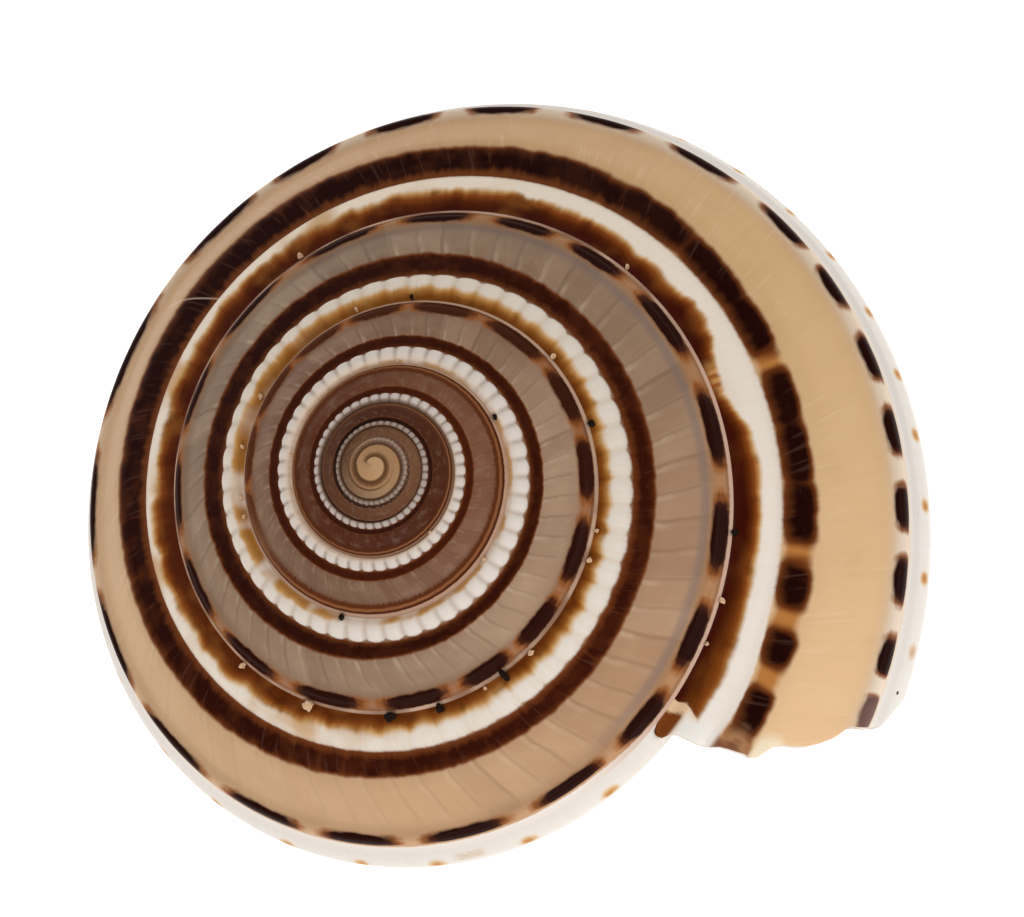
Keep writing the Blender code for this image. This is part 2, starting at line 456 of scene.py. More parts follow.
class Growth:
    """The shell's law of growth, as fields of a node tree. Its parts are groups of nodes."""

    def __init__(self, tree, sizes, parts):
        self.tree = tree
        self.start = Signal(tree)
        self.sizes = sizes
        self.parts = parts

    def point(self, name, line, station=0.0, depth=0.0):
        """A point from one of the groups that are already made."""
        inputs = {"Line": line, "Station": station, "Depth": depth, **self.sizes}
        found = self.start.node("GeometryNodeGroup", {"node_tree": self.parts[name]}, inputs)
        return Place(*(found.output(label) for label in PLACE_OUTPUTS))

    def radius(self, turns):
        """Radius of the rib's outer edge, so many turns back from the lip."""
        sizes = self.sizes
        change = sizes["Growth change"] - turns * sizes["Early growth"]
        steps = turns * (sizes["Growth per turn"] + turns * change)
        tight = above(turns, TIGHT_FROM_TURN)
        steps = steps + tight * tight * TIGHTENING
        return (steps * -1.0).math("EXPONENT") * sizes["Rib radius"]

    def depth(self, radius):
        """Depth of the rib's outer edge below the apex."""
        return radius * (self.sizes["Spire slope"] + radius * self.sizes["Spire doming"])

    def turns(self, line, lag):
        """How many turns a point of a growth line lies back from the lip."""
        return (LAST_LINE - line) / LINES_PER_TURN + lag / 360.0

    def vector(self, x, y, z):
        """Three numbers as one vector."""
        return self.start.node("ShaderNodeCombineXYZ", None, {"X": x, "Y": y, "Z": z})

    def cylinder_point(self, radius, height, turns):
        """The point at a radius, a height and an angle round the axis."""
        angle = turns.math("FRACT") * (2 * pi)
        return self.vector(radius * angle.math("COSINE"), radius * angle.math("SINE"), height)

    def place(self, line, reach, depth, lag, shown_reach=None):
        """The point for a reach and a depth in units of the rib's radius."""
        turns = self.turns(line, lag)
        radius = self.radius(turns)
        height = (self.depth(radius) + radius * depth) * -1.0
        position = self.cylinder_point(radius * reach, height, turns)
        return Place(position, LIP_TURN - turns * 360.0, self.marks(line, lag), shown_reach or reach)

    def marks(self, line, lag):
        """The growth angle that beads, wrinkles and fine marks follow."""
        return LIP_TURN - self.turns(line, lag * (1.0 - MARKS_SLANT)) * 360.0

    def shifted(self, line, station):
        """The growth line, moved at the lip by its chips."""
        share = (line - (LAST_LINE - CHIPPED_LINES)) / CHIPPED_LINES
        chip = station.curve(LIP_CHIPS) * self.sizes["Lip chips"] / LINE_ANGLE
        return line + chip * share.ramp(0.0, 1.0)

    def narrowing(self, size):
        """1 where the last whorl is narrowest, falling to 0 on both sides."""
        gap = (size - NARROW_SIZE) / NARROW_SPREAD
        return (gap * gap * -1.0).math("EXPONENT")

    def relief(self, growth, station):
        """Height of the beads and wrinkles in metres."""
        beads = ridges(growth, BEAD_SPACING, BEAD_SHARPNESS) - RELIEF_MIDDLE
        beads = beads * growth.curve(BEAD_HEIGHTS) * station.curve(BEAD_SHARE)
        wrinkles = ridges(growth, WRINKLE_SPACING, 1.0) - RELIEF_MIDDLE
        wrinkles = wrinkles * growth.curve(WRINKLE_HEIGHTS) * station.curve(WRINKLE_SHARE)
        return (beads * self.sizes["Bead height"] + wrinkles * self.sizes["Wrinkle height"]) * MM


def column_of(rows, index):
    """The stations of a section with one of its columns."""
    return [(row[0], row[index]) for row in rows]


def start_pull(station, width):
    """1 at station 0, where a face is pulled onto its neighbour, and 0 past the width.

    The fall has its middle at station 0, where it is a half, so it is doubled.
    """
    return station.fall(-width, width) * 2.0


def end_pull(station, last, width):
    """1 at the last station, and 0 farther from it than the width."""
    return station.ramp(last - width, last + width) * 2.0


def free_upper(growth, line, station, _):
    """A point of the whorl's upper side, before it is joined to the whorl before."""
    line = growth.shifted(line, station)
    lag = station.curve(column_of(UPPER_SECTION, 5))
    radius = growth.radius(growth.turns(line, lag))
    size = radius / growth.sizes["Rib radius"]
    values = []
    for young in (1, 3):
        first = station.curve(column_of(UPPER_SECTION, young))
        grown = station.curve(column_of(UPPER_SECTION, young + 1))
        values.append(first.mixed(grown, size))
    reach, depth = values
    narrow = growth.narrowing(size) * station.ramp(17.0, 29.0) * NARROW_UPPER_RIB
    seam = (growth.sizes["Seam overhang"] / radius).math("MINIMUM", SEAM_LIMIT)
    seam = seam * station.ramp(32.0, 34.0)
    relief = growth.relief(growth.marks(line, lag), station) / radius
    reach_now = reach - narrow + seam + relief * station.curve(OUTWARD)
    depth_now = depth + seam * SEAM_DROP - relief * station.curve(UPWARD)
    return growth.place(line, reach_now, depth_now, lag, reach)


def joined_upper(growth, line, station, _):
    """A point of the upper side. Its first station is the suture, on the whorl before."""
    place = growth.point("free_upper", line, station)
    own_start = growth.point("free_upper", line, 0.0).position
    before = line - WHORL_LINES
    snapped = (before / COARSE_STEP + 0.5).math("FLOOR") * COARSE_STEP
    before = before.mixed(snapped, before < FINE_LINE)
    suture = growth.point("free_upper", before, float(UPPER_COLUMNS)).position
    first = line < WHORL_LINES
    radius = growth.radius(growth.turns(line * 0.0, 0.0))
    height = APEX_RISE - growth.depth(radius)
    start = suture.mixed_vector(growth.vector(0.0, 0.0, height), first)
    near_start = start_pull(station, 3.0)
    share = near_start.mixed(1.0 - station / UPPER_COLUMNS, first)
    place.position = place.position.vector("ADD", start.vector("SUBTRACT", own_start).scaled(share))
    return place


def free_base(growth, line, station, _):
    """A point of the base, before it is joined to the upper side and to the cord."""
    line = growth.shifted(line, station + UPPER_COLUMNS)
    lag = station.curve(column_of(BASE_SECTION, 4))
    radius = growth.radius(growth.turns(line, lag))
    size = radius / growth.sizes["Rib radius"]
    edge = size * EDGE_CHANGE + EDGE_YOUNG - growth.narrowing(size) * NARROW_EDGE
    reach = edge * station.curve(column_of(BASE_SECTION, 1)) + station.curve(column_of(BASE_SECTION, 2))
    depth = station.curve(column_of(BASE_SECTION, 3))
    return growth.place(line, reach, depth, lag)


def cord(growth, line, _, __):
    """A point of the cord round the umbilicus. It gives its turns, its height and its radius."""
    moved = growth.shifted(line, line * 0.0 + (UPPER_COLUMNS + BASE_COLUMNS))
    turns = growth.turns(moved, CORD_LAG)
    radius = growth.radius(turns)
    bead = ridges(LIP_TURN - turns * 360.0, BEAD_SPACING, BEAD_SHARPNESS)
    bead = bead * growth.sizes["Cord bead"]
    height = (growth.depth(radius) + radius * (CORD_DEPTH + bead * 0.5)) * -1.0
    own_radius = radius * (CORD_REACH - bead)
    return Place(growth.cylinder_point(own_radius, height, turns), turns, height, own_radius)


def joined_base(growth, line, station, _):
    """A point of the base, from the seam below the upper rib to the umbilical cord."""
    place = growth.point("free_base", line, station)
    seam = growth.point("free_upper", line, float(UPPER_COLUMNS)).position
    start = seam.vector("SUBTRACT", growth.point("free_base", line, 0.0).position)
    cord_end = growth.point("cord", line).position
    end = cord_end.vector("SUBTRACT", growth.point("free_base", line, float(BASE_COLUMNS)).position)
    near_start = start_pull(station, 2.0)
    near_end = end_pull(station, BASE_COLUMNS, 1.5)
    moved = place.position.vector("ADD", start.scaled(near_start))
    place.position = moved.vector("ADD", end.scaled(near_end))
    return place


def wall(growth, line, station, _):
    """A point of the umbilicus, from this whorl's cord up to the cord of the whorl before."""
    lower = growth.point("cord", line)
    upper = growth.point("cord", line - WHORL_LINES)
    share = station / WALL_COLUMNS
    radius = lower.reach.mixed(upper.reach, share) + share.curve(WALL_SECTION) * lower.reach
    height = lower.growth.mixed(upper.growth, share)
    turns = lower.turn.mixed(upper.turn - 1.0, share)
    position = growth.cylinder_point(radius, height, turns)
    first = growth.point("cord", line * 0.0 + WALL_FIRST_LINE)
    top = growth.vector(0.0, 0.0, first.growth + UMBILICUS_TOP)
    early = lower.position.mixed_vector(top, share)
    position = position.mixed_vector(early, line < WALL_FIRST_LINE + WHORL_LINES)
    angle = LIP_TURN - growth.turns(line, 0.0) * 360.0
    return Place(position, LIP_TURN - turns * 360.0, angle, share)


def smooth_hollow(growth, line, station, _):
    """A point of the smooth face well inside the whorl."""
    moved = growth.shifted(line, station)
    reach, depth, lag = (station.curve(column_of(INNER_SECTION, index)) for index in (1, 2, 3))
    return growth.place(moved, reach, depth, lag)


def outside(growth, line, station, _):
    """A point anywhere on the outside, from the suture round to the cord of the whorl before."""
    upper = growth.point("joined_upper", line, station.math("MINIMUM", float(UPPER_COLUMNS)))
    base_station = (station - UPPER_COLUMNS).math("MAXIMUM", 0.0).math("MINIMUM", float(BASE_COLUMNS))
    below = growth.point("joined_base", line, base_station)
    wall_start = UPPER_COLUMNS + BASE_COLUMNS
    umbilical = growth.point("wall", line, (station - wall_start).math("MAXIMUM", 0.0))
    position = upper.position.mixed_vector(below.position, station > UPPER_COLUMNS)
    upper.position = position.mixed_vector(umbilical.position, station > wall_start)
    return upper


def free_inside(growth, line, station, depth):
    """A point inside: at depth 0 a thin wall behind the outside, at depth 1 the smooth hollow."""
    outer = growth.point("outside", line, station)
    reach, down, lag = (line * 0.0 + value for value in MOUTH_CENTRE)
    centre = growth.place(line, reach, down, lag)
    inward = centre.position.vector("SUBTRACT", outer.position)
    inward = inward.node("ShaderNodeVectorMath", {"operation": "NORMALIZE"}, {0: inward})
    thin = outer.position.vector("ADD", inward.scaled(growth.sizes["Lip thickness"]))
    smooth = growth.point("smooth_hollow", line, station)
    outer.position = thin.mixed_vector(smooth.position, depth)
    return outer


def joined_inside(growth, line, station, depth):
    """The inside with both its ends on the base of the whorl before."""
    place = growth.point("free_inside", line, station, depth)
    before = line - WHORL_LINES
    first = growth.point("joined_base", before, float(PARIETAL_FIRST)).position
    last = growth.point("joined_base", before, float(PARIETAL_LAST)).position
    own_first = growth.point("free_inside", line, 0.0, depth).position
    own_last = growth.point("free_inside", line, float(OUTER_COLUMNS), depth).position
    near_first = start_pull(station, 6.0)
    near_last = end_pull(station, OUTER_COLUMNS, 4.0)
    moved = place.position.vector("ADD", first.vector("SUBTRACT", own_first).scaled(near_first))
    place.position = moved.vector("ADD", last.vector("SUBTRACT", own_last).scaled(near_last))
    return place


GROUPS = (
    free_upper,
    joined_upper,
    free_base,
    cord,
    joined_base,
    wall,
    outside,
    smooth_hollow,
    free_inside,
    joined_inside,
)


def tree_with(name, inputs, outputs):
    """A new geometry tree with a number for each named input, and its output node."""
    tree = bpy.data.node_groups.new(name, "GeometryNodeTree")
    for label, kind in outputs.items():
        tree.interface.new_socket(label, in_out="OUTPUT", socket_type=kind)
    sockets = {}
    for label, value in inputs.items():
        socket = tree.interface.new_socket(label, in_out="INPUT", socket_type="NodeSocketFloat")
        socket.default_value = value
        sockets[label] = socket.identifier
    entry = tree.nodes.new("NodeGroupInput")
    signals = {label: Signal(tree, entry.outputs[label]) for label in inputs}
    return tree, signals, sockets, tree.nodes.new("NodeGroupOutput")


MESH_OUTPUT = {"Geometry": "NodeSocketGeometry"}


def growth_groups(sizes):
    """The groups of nodes for all the parts of the law of growth, each made from those before."""
    parts = {}
    for build in GROUPS:
        inputs = {"Line": 0.0, "Station": 0.0, "Depth": 0.0}
        tree, signals, _, exit_node = tree_with(build.__name__, {**inputs, **sizes}, PLACE_OUTPUTS)
        line, station, depth = (signals.pop(label) for label in inputs)
        place = build(Growth(tree, signals, parts), line, station, depth)
        for label in PLACE_OUTPUTS:
            tree.links.new(getattr(place, label.lower()).socket, exit_node.inputs[label])
        parts[build.__name__] = tree
    return parts


def grid(tree, rows, columns):
    """A mesh of rows and columns, with the row and the column of each of its points."""
    start = Signal(tree)
    inputs = {"Size X": 1.0, "Size Y": 1.0, "Vertices X": rows, "Vertices Y": columns}
    mesh = start.node("GeometryNodeMeshGrid", None, inputs)
    index = start.node("GeometryNodeInputIndex")
    row = ((index + 0.5) / columns).math("FLOOR")
    return mesh, row, index - row * columns


def patch(mesh, place, station, material):
    """Puts a grid's points in place, and keeps what its colours need at the faces' corners."""
    mesh = mesh.node("GeometryNodeSetPosition", None, {"Geometry": mesh, "Position": place.position})
    needed = {"turn": place.turn, "growth": place.growth, "reach": place.reach, "station": station}
    for name, value in needed.items():
        settings = {"data_type": "FLOAT", "domain": "POINT"}
        at_points = mesh.node("GeometryNodeFieldOnDomain", settings, {0: value})
        settings = {"data_type": "FLOAT", "domain": "CORNER"}
        inputs = {"Geometry": mesh, "Name": name, "Value": at_points}
        mesh = mesh.node("GeometryNodeStoreNamedAttribute", settings, inputs)
    return mesh.node("GeometryNodeSetMaterial", None, {"Geometry": mesh, "Material": material})


def young_spire(growth, material):
    """The first whorls, which are too small for fine lines."""
    mesh, row, column = grid(growth.tree, FINE_LINE // COARSE_STEP + 1, COARSE_COLUMNS + 1)
    station = column * (UPPER_COLUMNS / COARSE_COLUMNS)
    first_row = row < 0.5
    halves = (station > UPPER_COLUMNS / 2) * UPPER_COLUMNS
    station = station.mixed(halves, first_row)
    return patch(mesh, growth.point("joined_upper", row * COARSE_STEP, station), station, material)


def fine_spire(growth, material):
    """The upper side of all later whorls. Its first line meets the coarse one before."""
    mesh, row, column = grid(growth.tree, LAST_LINE - FINE_LINE + 1, UPPER_COLUMNS + 1)
    wide = UPPER_COLUMNS / COARSE_COLUMNS
    snapped = (column / wide + 0.5).math("FLOOR") * wide
    station = column.mixed(snapped, row < 0.5)
    return patch(mesh, growth.point("joined_upper", row + FINE_LINE, station), station, material)


def last_base(growth, material):
    """The base of the last whorl, which covers those of all earlier ones."""
    mesh, row, column = grid(growth.tree, WHORL_LINES + 1, BASE_COLUMNS + 1)
    place = growth.point("joined_base", row + (LAST_LINE - WHORL_LINES), column)
    return patch(mesh, place, column + UPPER_COLUMNS, material)


def umbilicus(growth, material):
    """The winding wall of the umbilicus, up to its closed top."""
    mesh, row, column = grid(growth.tree, LAST_LINE - WALL_FIRST_LINE + 1, WALL_COLUMNS + 1)
    halves = (column > WALL_COLUMNS / 2) * WALL_COLUMNS
    station = column.mixed(halves, row < 0.5)
    place = growth.point("wall", row + WALL_FIRST_LINE, station)
    return patch(mesh, place, station + (UPPER_COLUMNS + BASE_COLUMNS), material)


def lip(growth, material):
    """The rounded edge between the outside and the smooth face inside."""
    mesh, row, column = grid(growth.tree, 3, OUTER_COLUMNS + 1)
    line = row.math("COMPARE", 1.0, 0.5) * growth.sizes["Lip rounding"] + LAST_LINE
    outer = growth.point("outside", line, column)
    inner = growth.point("joined_inside", line, column, 0.0)
    position = outer.position.mixed_vector(inner.position, row / 2.0)
    at_end = column > OUTER_COLUMNS - 0.5
    base_station = row.mixed(BASE_COLUMNS - row, at_end)
    joined = growth.point("joined_base", row * 0.0 + (LAST_LINE - WHORL_LINES), base_station).position
    outer.position = position.mixed_vector(joined, at_end + (column < 0.5))
    return patch(mesh, outer, column + INSIDE_STATION, material)


def hollow(growth, material):
    """The inside of the whorl, back to a closed end far from the lip."""
    parietal = PARIETAL_LAST - PARIETAL_FIRST
    mesh, row, column = grid(growth.tree, HOLLOW_ROWS + 1, OUTER_COLUMNS + parietal + 1)
    line = LAST_LINE - row * HOLLOW_STEP
    depth = 1.0 - (row * -0.5).math("EXPONENT")
    face = growth.point("joined_inside", line, column.math("MINIMUM", float(OUTER_COLUMNS)), depth)
    station = PARIETAL_LAST - (column - OUTER_COLUMNS).math("MAXIMUM", 0.0)
    behind = growth.point("joined_base", line - WHORL_LINES, station)
    position = face.position.mixed_vector(behind.position, column > OUTER_COLUMNS)
    reach, down, lag = (row * 0.0 + value for value in MOUTH_CENTRE)
    centre = growth.place(line, reach, down, lag)
    face.position = position.mixed_vector(centre.position, row > HOLLOW_ROWS - 0.5)
    return patch(mesh, face, column + INSIDE_STATION, material)


def shell_tree(sizes, materials):
    """The tree that grows the whole shell, and the identifiers of its named inputs."""
    parts = growth_groups(sizes)
    tree, signals, sockets, exit_node = tree_with("shell_growth", sizes, MESH_OUTPUT)
    growth = Growth(tree, signals, parts)
    patches = (
        young_spire(growth, materials["upper"]),
        fine_spire(growth, materials["upper"]),
        last_base(growth, materials["base"]),
        umbilicus(growth, materials["base"]),
        lip(growth, materials["inside"]),
        hollow(growth, materials["inside"]),
    )
    joined = tree.nodes.new("GeometryNodeJoinGeometry")
    for piece in patches:
        tree.links.new(piece.socket, joined.inputs[0])
    whole = Signal(tree, joined.outputs[0])
    inputs = {"Geometry": whole, "Distance": MERGE_DISTANCE}
    whole = whole.node("GeometryNodeMergeByDistance", None, inputs)
    whole = whole.node("GeometryNodeSetShadeSmooth", None, {"Geometry": whole})
    tree.links.new(whole.socket, exit_node.inputs[0])
    return tree, sockets


def realised(name, tree, sockets, values, collection):
    """The tree's result as a plain mesh object."""
    holder = bpy.data.objects.new(name + "_source", bpy.data.meshes.new(name + "_source"))
    collection.objects.link(holder)
    modifier = holder.modifiers.new("grow", "NODES")
    modifier.node_group = tree
    for label, value in values.items():
        modifier[sockets[label]] = value
    graph = bpy.context.evaluated_depsgraph_get()
    mesh = bpy.data.meshes.new_from_object(
        holder.evaluated_get(graph), preserve_all_data_layers=True, depsgraph=graph
    )
    bpy.data.objects.remove(holder)
    mesh.name = name
    piece = bpy.data.objects.new(name, mesh)
    collection.objects.link(piece)
    return piece


def resting_turn():
    """The tip of the shell as it rests on its base."""
    return Matrix.Rotation(REST_TILT, 4, Vector((-sin(REST_DIRECTION), cos(REST_DIRECTION), 0.0)))


def lay_down(mesh):
    """Tips the shell as it rests, and puts it where the frame's own shell is."""
    mesh.transform(resting_turn())
    low = Vector([min(vertex.co[k] for vertex in mesh.vertices) for k in range(3)])
    high = Vector([max(vertex.co[k] for vertex in mesh.vertices) for k in range(3)])
    cad_low, cad_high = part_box("shell")
    move = (cad_low + cad_high) / 2 - (low + high) / 2
    move.z = cad_low.z - low.z
    mesh.transform(Matrix.Translation(move))
    return move


def orient_camera(move):
    """The photograph's view: a flat projection from a little beside the spire's axis."""
    axis = Vector((sin(VIEW_SIDE), cos(VIEW_SIDE), 0.0))
    photo = Matrix.Rotation(VIEW_TILT, 4, axis)
    turned = resting_turn() @ Matrix.Rotation(PHOTO_TURN, 4, "Z") @ photo
    right = (IMAGE_SIZE[0] / 2 - APEX_PIXEL[0]) / PIXELS_PER_MM * MM
    up = (APEX_PIXEL[1] - IMAGE_SIZE[1] / 2) / PIXELS_PER_MM * MM
    centre = Matrix.Translation(move) @ turned @ Vector((right, up, 0.0))
    back = turned.to_3x3() @ Vector((0.0, 0.0, 1.0))
    camera = bpy.data.objects.new("camera", bpy.data.cameras.new("camera"))
    camera.data.type = "ORTHO"
    camera.data.ortho_scale = IMAGE_SIZE[0] / PIXELS_PER_MM * MM
    camera.matrix_world = Matrix.Translation(centre + back * CAMERA_DISTANCE) @ turned
    camera.data.clip_end = CAMERA_SIGHT
    return camera


def paint(red, green, blue):
    """A colour given as a paint chart gives it, from 0 to 255, as Blender's own light values."""
    values = (red, green, blue)
    return tuple(((v / 255 + 0.055) / 1.055) ** 2.4 if v > 10 else v / 3295 for v in values)


# Growth angle and colour of the smooth flank, from the spire to the lip.
FLANK_COLOURS = (
    (-300, paint(166, 134, 100)),
    (-160, paint(100, 68, 46)),
    (-20, paint(118, 80, 56)),
    (120, paint(100, 62, 43)),
    (240, paint(80, 43, 26)),
    (420, paint(76, 36, 21)),
    (560, paint(90, 45, 26)),
    (700, paint(124, 81, 60)),
    (840, paint(122, 90, 72)),
    (1000, paint(138, 106, 86)),
    (1100, paint(168, 136, 110)),
    (1190, paint(148, 120, 98)),
    (1300, paint(139, 114, 93)),
    (1400, paint(146, 118, 95)),
    (1470, paint(172, 134, 103)),
    (1530, paint(198, 158, 120)),
    (1610, paint(202, 166, 128)),
    (1690, paint(192, 151, 111)),
    (1760, paint(208, 169, 123)),
    (1844, paint(226, 187, 143)),
)
# Colour of the rib's crest.
WHITE_COLOURS = (
    (-300, paint(166, 134, 100)),
    (-120, paint(168, 136, 114)),
    (60, paint(150, 134, 122)),
    (240, paint(155, 138, 127)),
    (450, paint(186, 172, 162)),
    (720, paint(216, 202, 191)),
    (1150, paint(226, 215, 205)),
    (1300, paint(226, 213, 197)),
    (1500, paint(226, 216, 204)),
    (1700, paint(240, 223, 202)),
    (1844, paint(232, 222, 212)),
)
# Colour of the brown slope between the suture and the rib's crest.
# Its pale stops at 860 and 1000 are the slope's cream, brightened further as painted light against the
# shade beside the suture.
SLOPE_COLOURS = (
    (300, paint(150, 126, 112)),
    (860, paint(248, 228, 206)),
    (1000, paint(240, 206, 166)),
    (1110, paint(196, 146, 88)),
    (1250, paint(172, 114, 48)),
    (1400, paint(144, 78, 14)),
    (1560, paint(98, 42, 6)),
    (1625, paint(74, 24, 7)),
    (1700, paint(68, 19, 6)),
    (1844, paint(60, 13, 4)),
)
# How far out the slope's brown ends, and how wide its golden fringe is there.
SLOPE_REACH = (
    (700, 0.862),
    (880, 0.874),
    (1000, 0.888),
    (1110, 0.900),
    (1200, 0.915),
    (1250, 0.930),
    (1400, 0.929),
    (1450, 0.922),
    (1480, 0.938),
    (1515, 0.934),
    (1545, 0.940),
    (1580, 0.953),
    (1605, 0.958),
    (1616, 0.972),
    (1624, 0.948),
    (1655, 0.957),
    (1700, 0.954),
    (1745, 0.951),
    (1758, 0.942),
    (1768, 0.962),
    (1779, 0.915),
    (1788, 0.948),
    (1803, 0.960),
    (1814, 0.958),
    (1824, 0.962),
    (1831, 0.968),
    (1844, 0.970),
)
FRINGE_WIDTH = (
    (700, 0.03), (1200, 0.04), (1500, 0.048), (1550, 0.038), (1610, 0.036), (1700, 0.034),
    (1740, 0.026), (1844, 0.020),
)
FRINGE_COLOURS = (
    (1000, paint(206, 166, 120)),
    (1200, paint(186, 132, 70)),
    (1450, paint(148, 84, 24)),
    (1640, paint(142, 72, 26)),
)
# Colours of the dark band: where it is worn or feathered, and where it is whole.
BAND_TOP_COLOURS = (
    (-100, paint(116, 84, 62)),
    (60, paint(70, 44, 30)),
    (240, paint(44, 24, 16)),
    (700, paint(88, 40, 14)),
    (900, paint(82, 36, 12)),
    (1300, paint(94, 48, 21)),
    (1500, paint(104, 50, 21)),
    (1700, paint(120, 64, 29)),
    (1844, paint(122, 66, 30)),
)
BAND_COLOURS = (
    (-100, paint(110, 78, 58)),
    (60, paint(56, 34, 24)),
    (240, paint(34, 18, 12)),
    (700, paint(72, 27, 9)),
    (900, paint(62, 22, 7)),
    (1300, paint(42, 10, 4)),
    (1500, paint(58, 19, 7)),
    (1640, paint(34, 6, 3)),
    (1844, paint(30, 5, 3)),
)
# How far out the band ends.
BAND_EDGE = (
    (1000, 1.090),
    (1100, 1.088),
    (1200, 1.104),
    (1300, 1.112),
    (1400, 1.092),
    (1500, 1.089),
    (1560, 1.098),
    (1610, 1.108),
    (1655, 1.113),
    (1700, 1.103),
    (1750, 1.092),
    (1780, 1.082),
    (1803, 1.090),
    (1824, 1.092),
    (1844, 1.106),
)
# Where the band starts: at the rib's outer edge, and a little farther out at the lip.
BAND_START = ((1780, 1.004), (1815, 1.006), (1824, 1.012), (1831, 1.022), (1844, 1.026))
# Growth angles of the middles of the band's blotches, and how clearly they part there.
BAND_BLOTCHES = (1728, 1747, 1761.5, 1773, 1784.5, 1793.5, 1803.5, 1814, 1823.5, 1832.5, 1841)
BLOTCH_GAPS = (
    (1728, 0.0),
    (1756, 0.34),
    (1767, 0.20),
    (1774, 0.5),
    (1779, 1.3),
    (1784, 0.6),
    (1790, 0.20),
    (1798, 0.30),
    (1809, 1.2),
    (1819, 1.7),
    (1829, 2.0),
    (1834, 0.9),
    (1837, 0.3),
    (1844, 0.2),
)
# Growth angles of the middles of the dark spots on the upper peripheral rib.
UPPER_SPOTS = (
    886, 910, 936, 959, 981, 1004, 1031, 1055, 1078, 1102, 1125, 1144, 1165, 1190, 1214, 1237,
    1260, 1284, 1306, 1331, 1352, 1371, 1387, 1406, 1429, 1449, 1468, 1485, 1502, 1523, 1542,
    1560, 1580, 1600, 1622, 1645, 1670, 1684, 1700, 1714, 1729, 1744, 1759, 1769, 1780, 1790,
    1800, 1809, 1819, 1826, 1835,
)
# Station of their middles.
SPOT_STATION = 30.2
# Half the length of the upper spots, as a share of their spacing, and their width in stations.
SPOT_LENGTH = ((860, 0.52), (1100, 0.45), (1480, 0.40), (1600, 0.41), (1720, 0.36), (1844, 0.33))
SPOT_WIDTH = (
    (860, 3.4), (1100, 2.9), (1300, 2.3), (1480, 2.3), (1520, 2.3), (1640, 2.8), (1690, 3.2),
    (1740, 2.4), (1800, 2.9), (1844, 2.8),
)
SPOT_COLOURS = (
    (60, paint(96, 66, 50)),
    (400, paint(84, 43, 24)),
    (840, paint(98, 50, 24)),
    (1100, paint(44, 15, 8)),
    (1844, paint(32, 8, 5)),
)
# Growth angles of the middles of the small golden spots on the lower rib.
LOWER_SPOTS = (
    1482, 1498, 1514, 1530, 1543, 1556, 1570, 1582, 1596, 1612, 1630, 1648, 1664, 1680, 1696,
    1712, 1725, 1738, 1747, 1756, 1764, 1773, 1782, 1790, 1799, 1808, 1817, 1827,
)
# The thin ledge that shows beside the suture, and becomes the lower rib on the last whorl.
LEDGE_COLOURS = (
    (100, paint(110, 80, 60)),
    (400, paint(158, 120, 94)),
    (700, paint(196, 158, 132)),
    (850, paint(182, 148, 126)),
    (1150, paint(206, 172, 146)),
    (1484, paint(206, 170, 148)),
    (1500, paint(230, 220, 210)),
    (1844, paint(230, 223, 215)),
)
# Colour of the upper rim between its spots.
GAP_COLOURS = (
    (1100, paint(150, 100, 66)),
    (1470, paint(178, 128, 86)),
    (1600, paint(214, 180, 146)),
    (1700, paint(226, 204, 180)),
    (1844, paint(230, 212, 192)),
)
# How strongly the wrinkles' tones, their painted shade and highlights, and the painted shade between the
# beads show, from the spire to the lip.
WRINKLE_TONES = (
    (300, 0.05), (600, 0.2), (840, 0.45), (1000, 0.85), (1480, 0.85), (1540, 0.30), (1640, 0.12),
    (1844, 0.08),
)
BEAD_GROOVE_SHADE = (
    (-200, 0.0), (0, 0.5), (200, 0.75), (700, 0.6), (1250, 0.36), (1500, 0.12), (1640, 0.0),
    (1844, 0.0),
)
# Colour of the painted shade in the grooves between the beads.
SHADE_BETWEEN_BEADS = (
    (0, paint(96, 72, 58)),
    (400, paint(94, 72, 60)),
    (1000, paint(140, 116, 94)),
    (1500, paint(196, 166, 136)),
)
FIRST_WHORL_COLOURS = (
    (-1000, paint(208, 168, 126)),
    (-500, paint(180, 138, 96)),
    (-200, paint(152, 110, 76)),
)
LOWER_RIB_COLOURS = ((1400, paint(226, 218, 209)), (1844, paint(230, 223, 215)))
GLAZE_COLOURS = ((0.0, paint(236, 228, 219)), (1.0, paint(206, 184, 160)))

# Growth angles of the marks of damage and dirt, and the station of the speck on the base.
SCAR_TURN = 1779.6
SLOPE_CUT_TURN = 1779.3
SCRATCH_TURN = 1655.5
CRUST_TURN = 1524.0
SPECK_TURN = 1822.3
SPECK_STATION = 1.6

SPECULAR_LEVEL = 0.03
COAT_ROUGHNESS = 0.10
BUMP_DEPTH = 0.05 * MM

# Growth angle of each grain of sand in the suture, its size in millimetres, and 1 for a dark one.
SAND_GRAINS = (
    (770, 0.26, 0), (912, 0.24, 0), (994, 0.26, 0), (1054, 0.40, 1), (1121, 0.32, 0), (1189, 0.48, 1),
    (1248, 0.34, 0), (1255, 0.30, 0), (1273, 0.38, 0), (1291, 0.44, 0), (1334, 0.36, 0), (1352, 0.40, 1),
    (1402, 0.50, 0), (1425, 0.46, 1), (1455, 0.34, 0), (1463, 0.46, 0), (1492, 0.40, 0), (1501, 0.74, 1),
    (1507, 0.34, 0), (1520, 0.64, 1), (1533, 0.76, 1), (1555, 0.80, 0), (1575, 0.46, 0), (1681, 0.50, 0),
    (1752, 0.36, 0), (1808, 0.54, 1), (1820, 0.50, 0), (1828, 0.34, 0),
)
GRAIN_STATION = 0.9
# Share of its size by which a grain stands above the suture.
GRAIN_LIFT = 0.25
GRAIN_MOTTLE = 9.0 / MM
SPIN_SEED = 7
STRETCH_SEED = 3


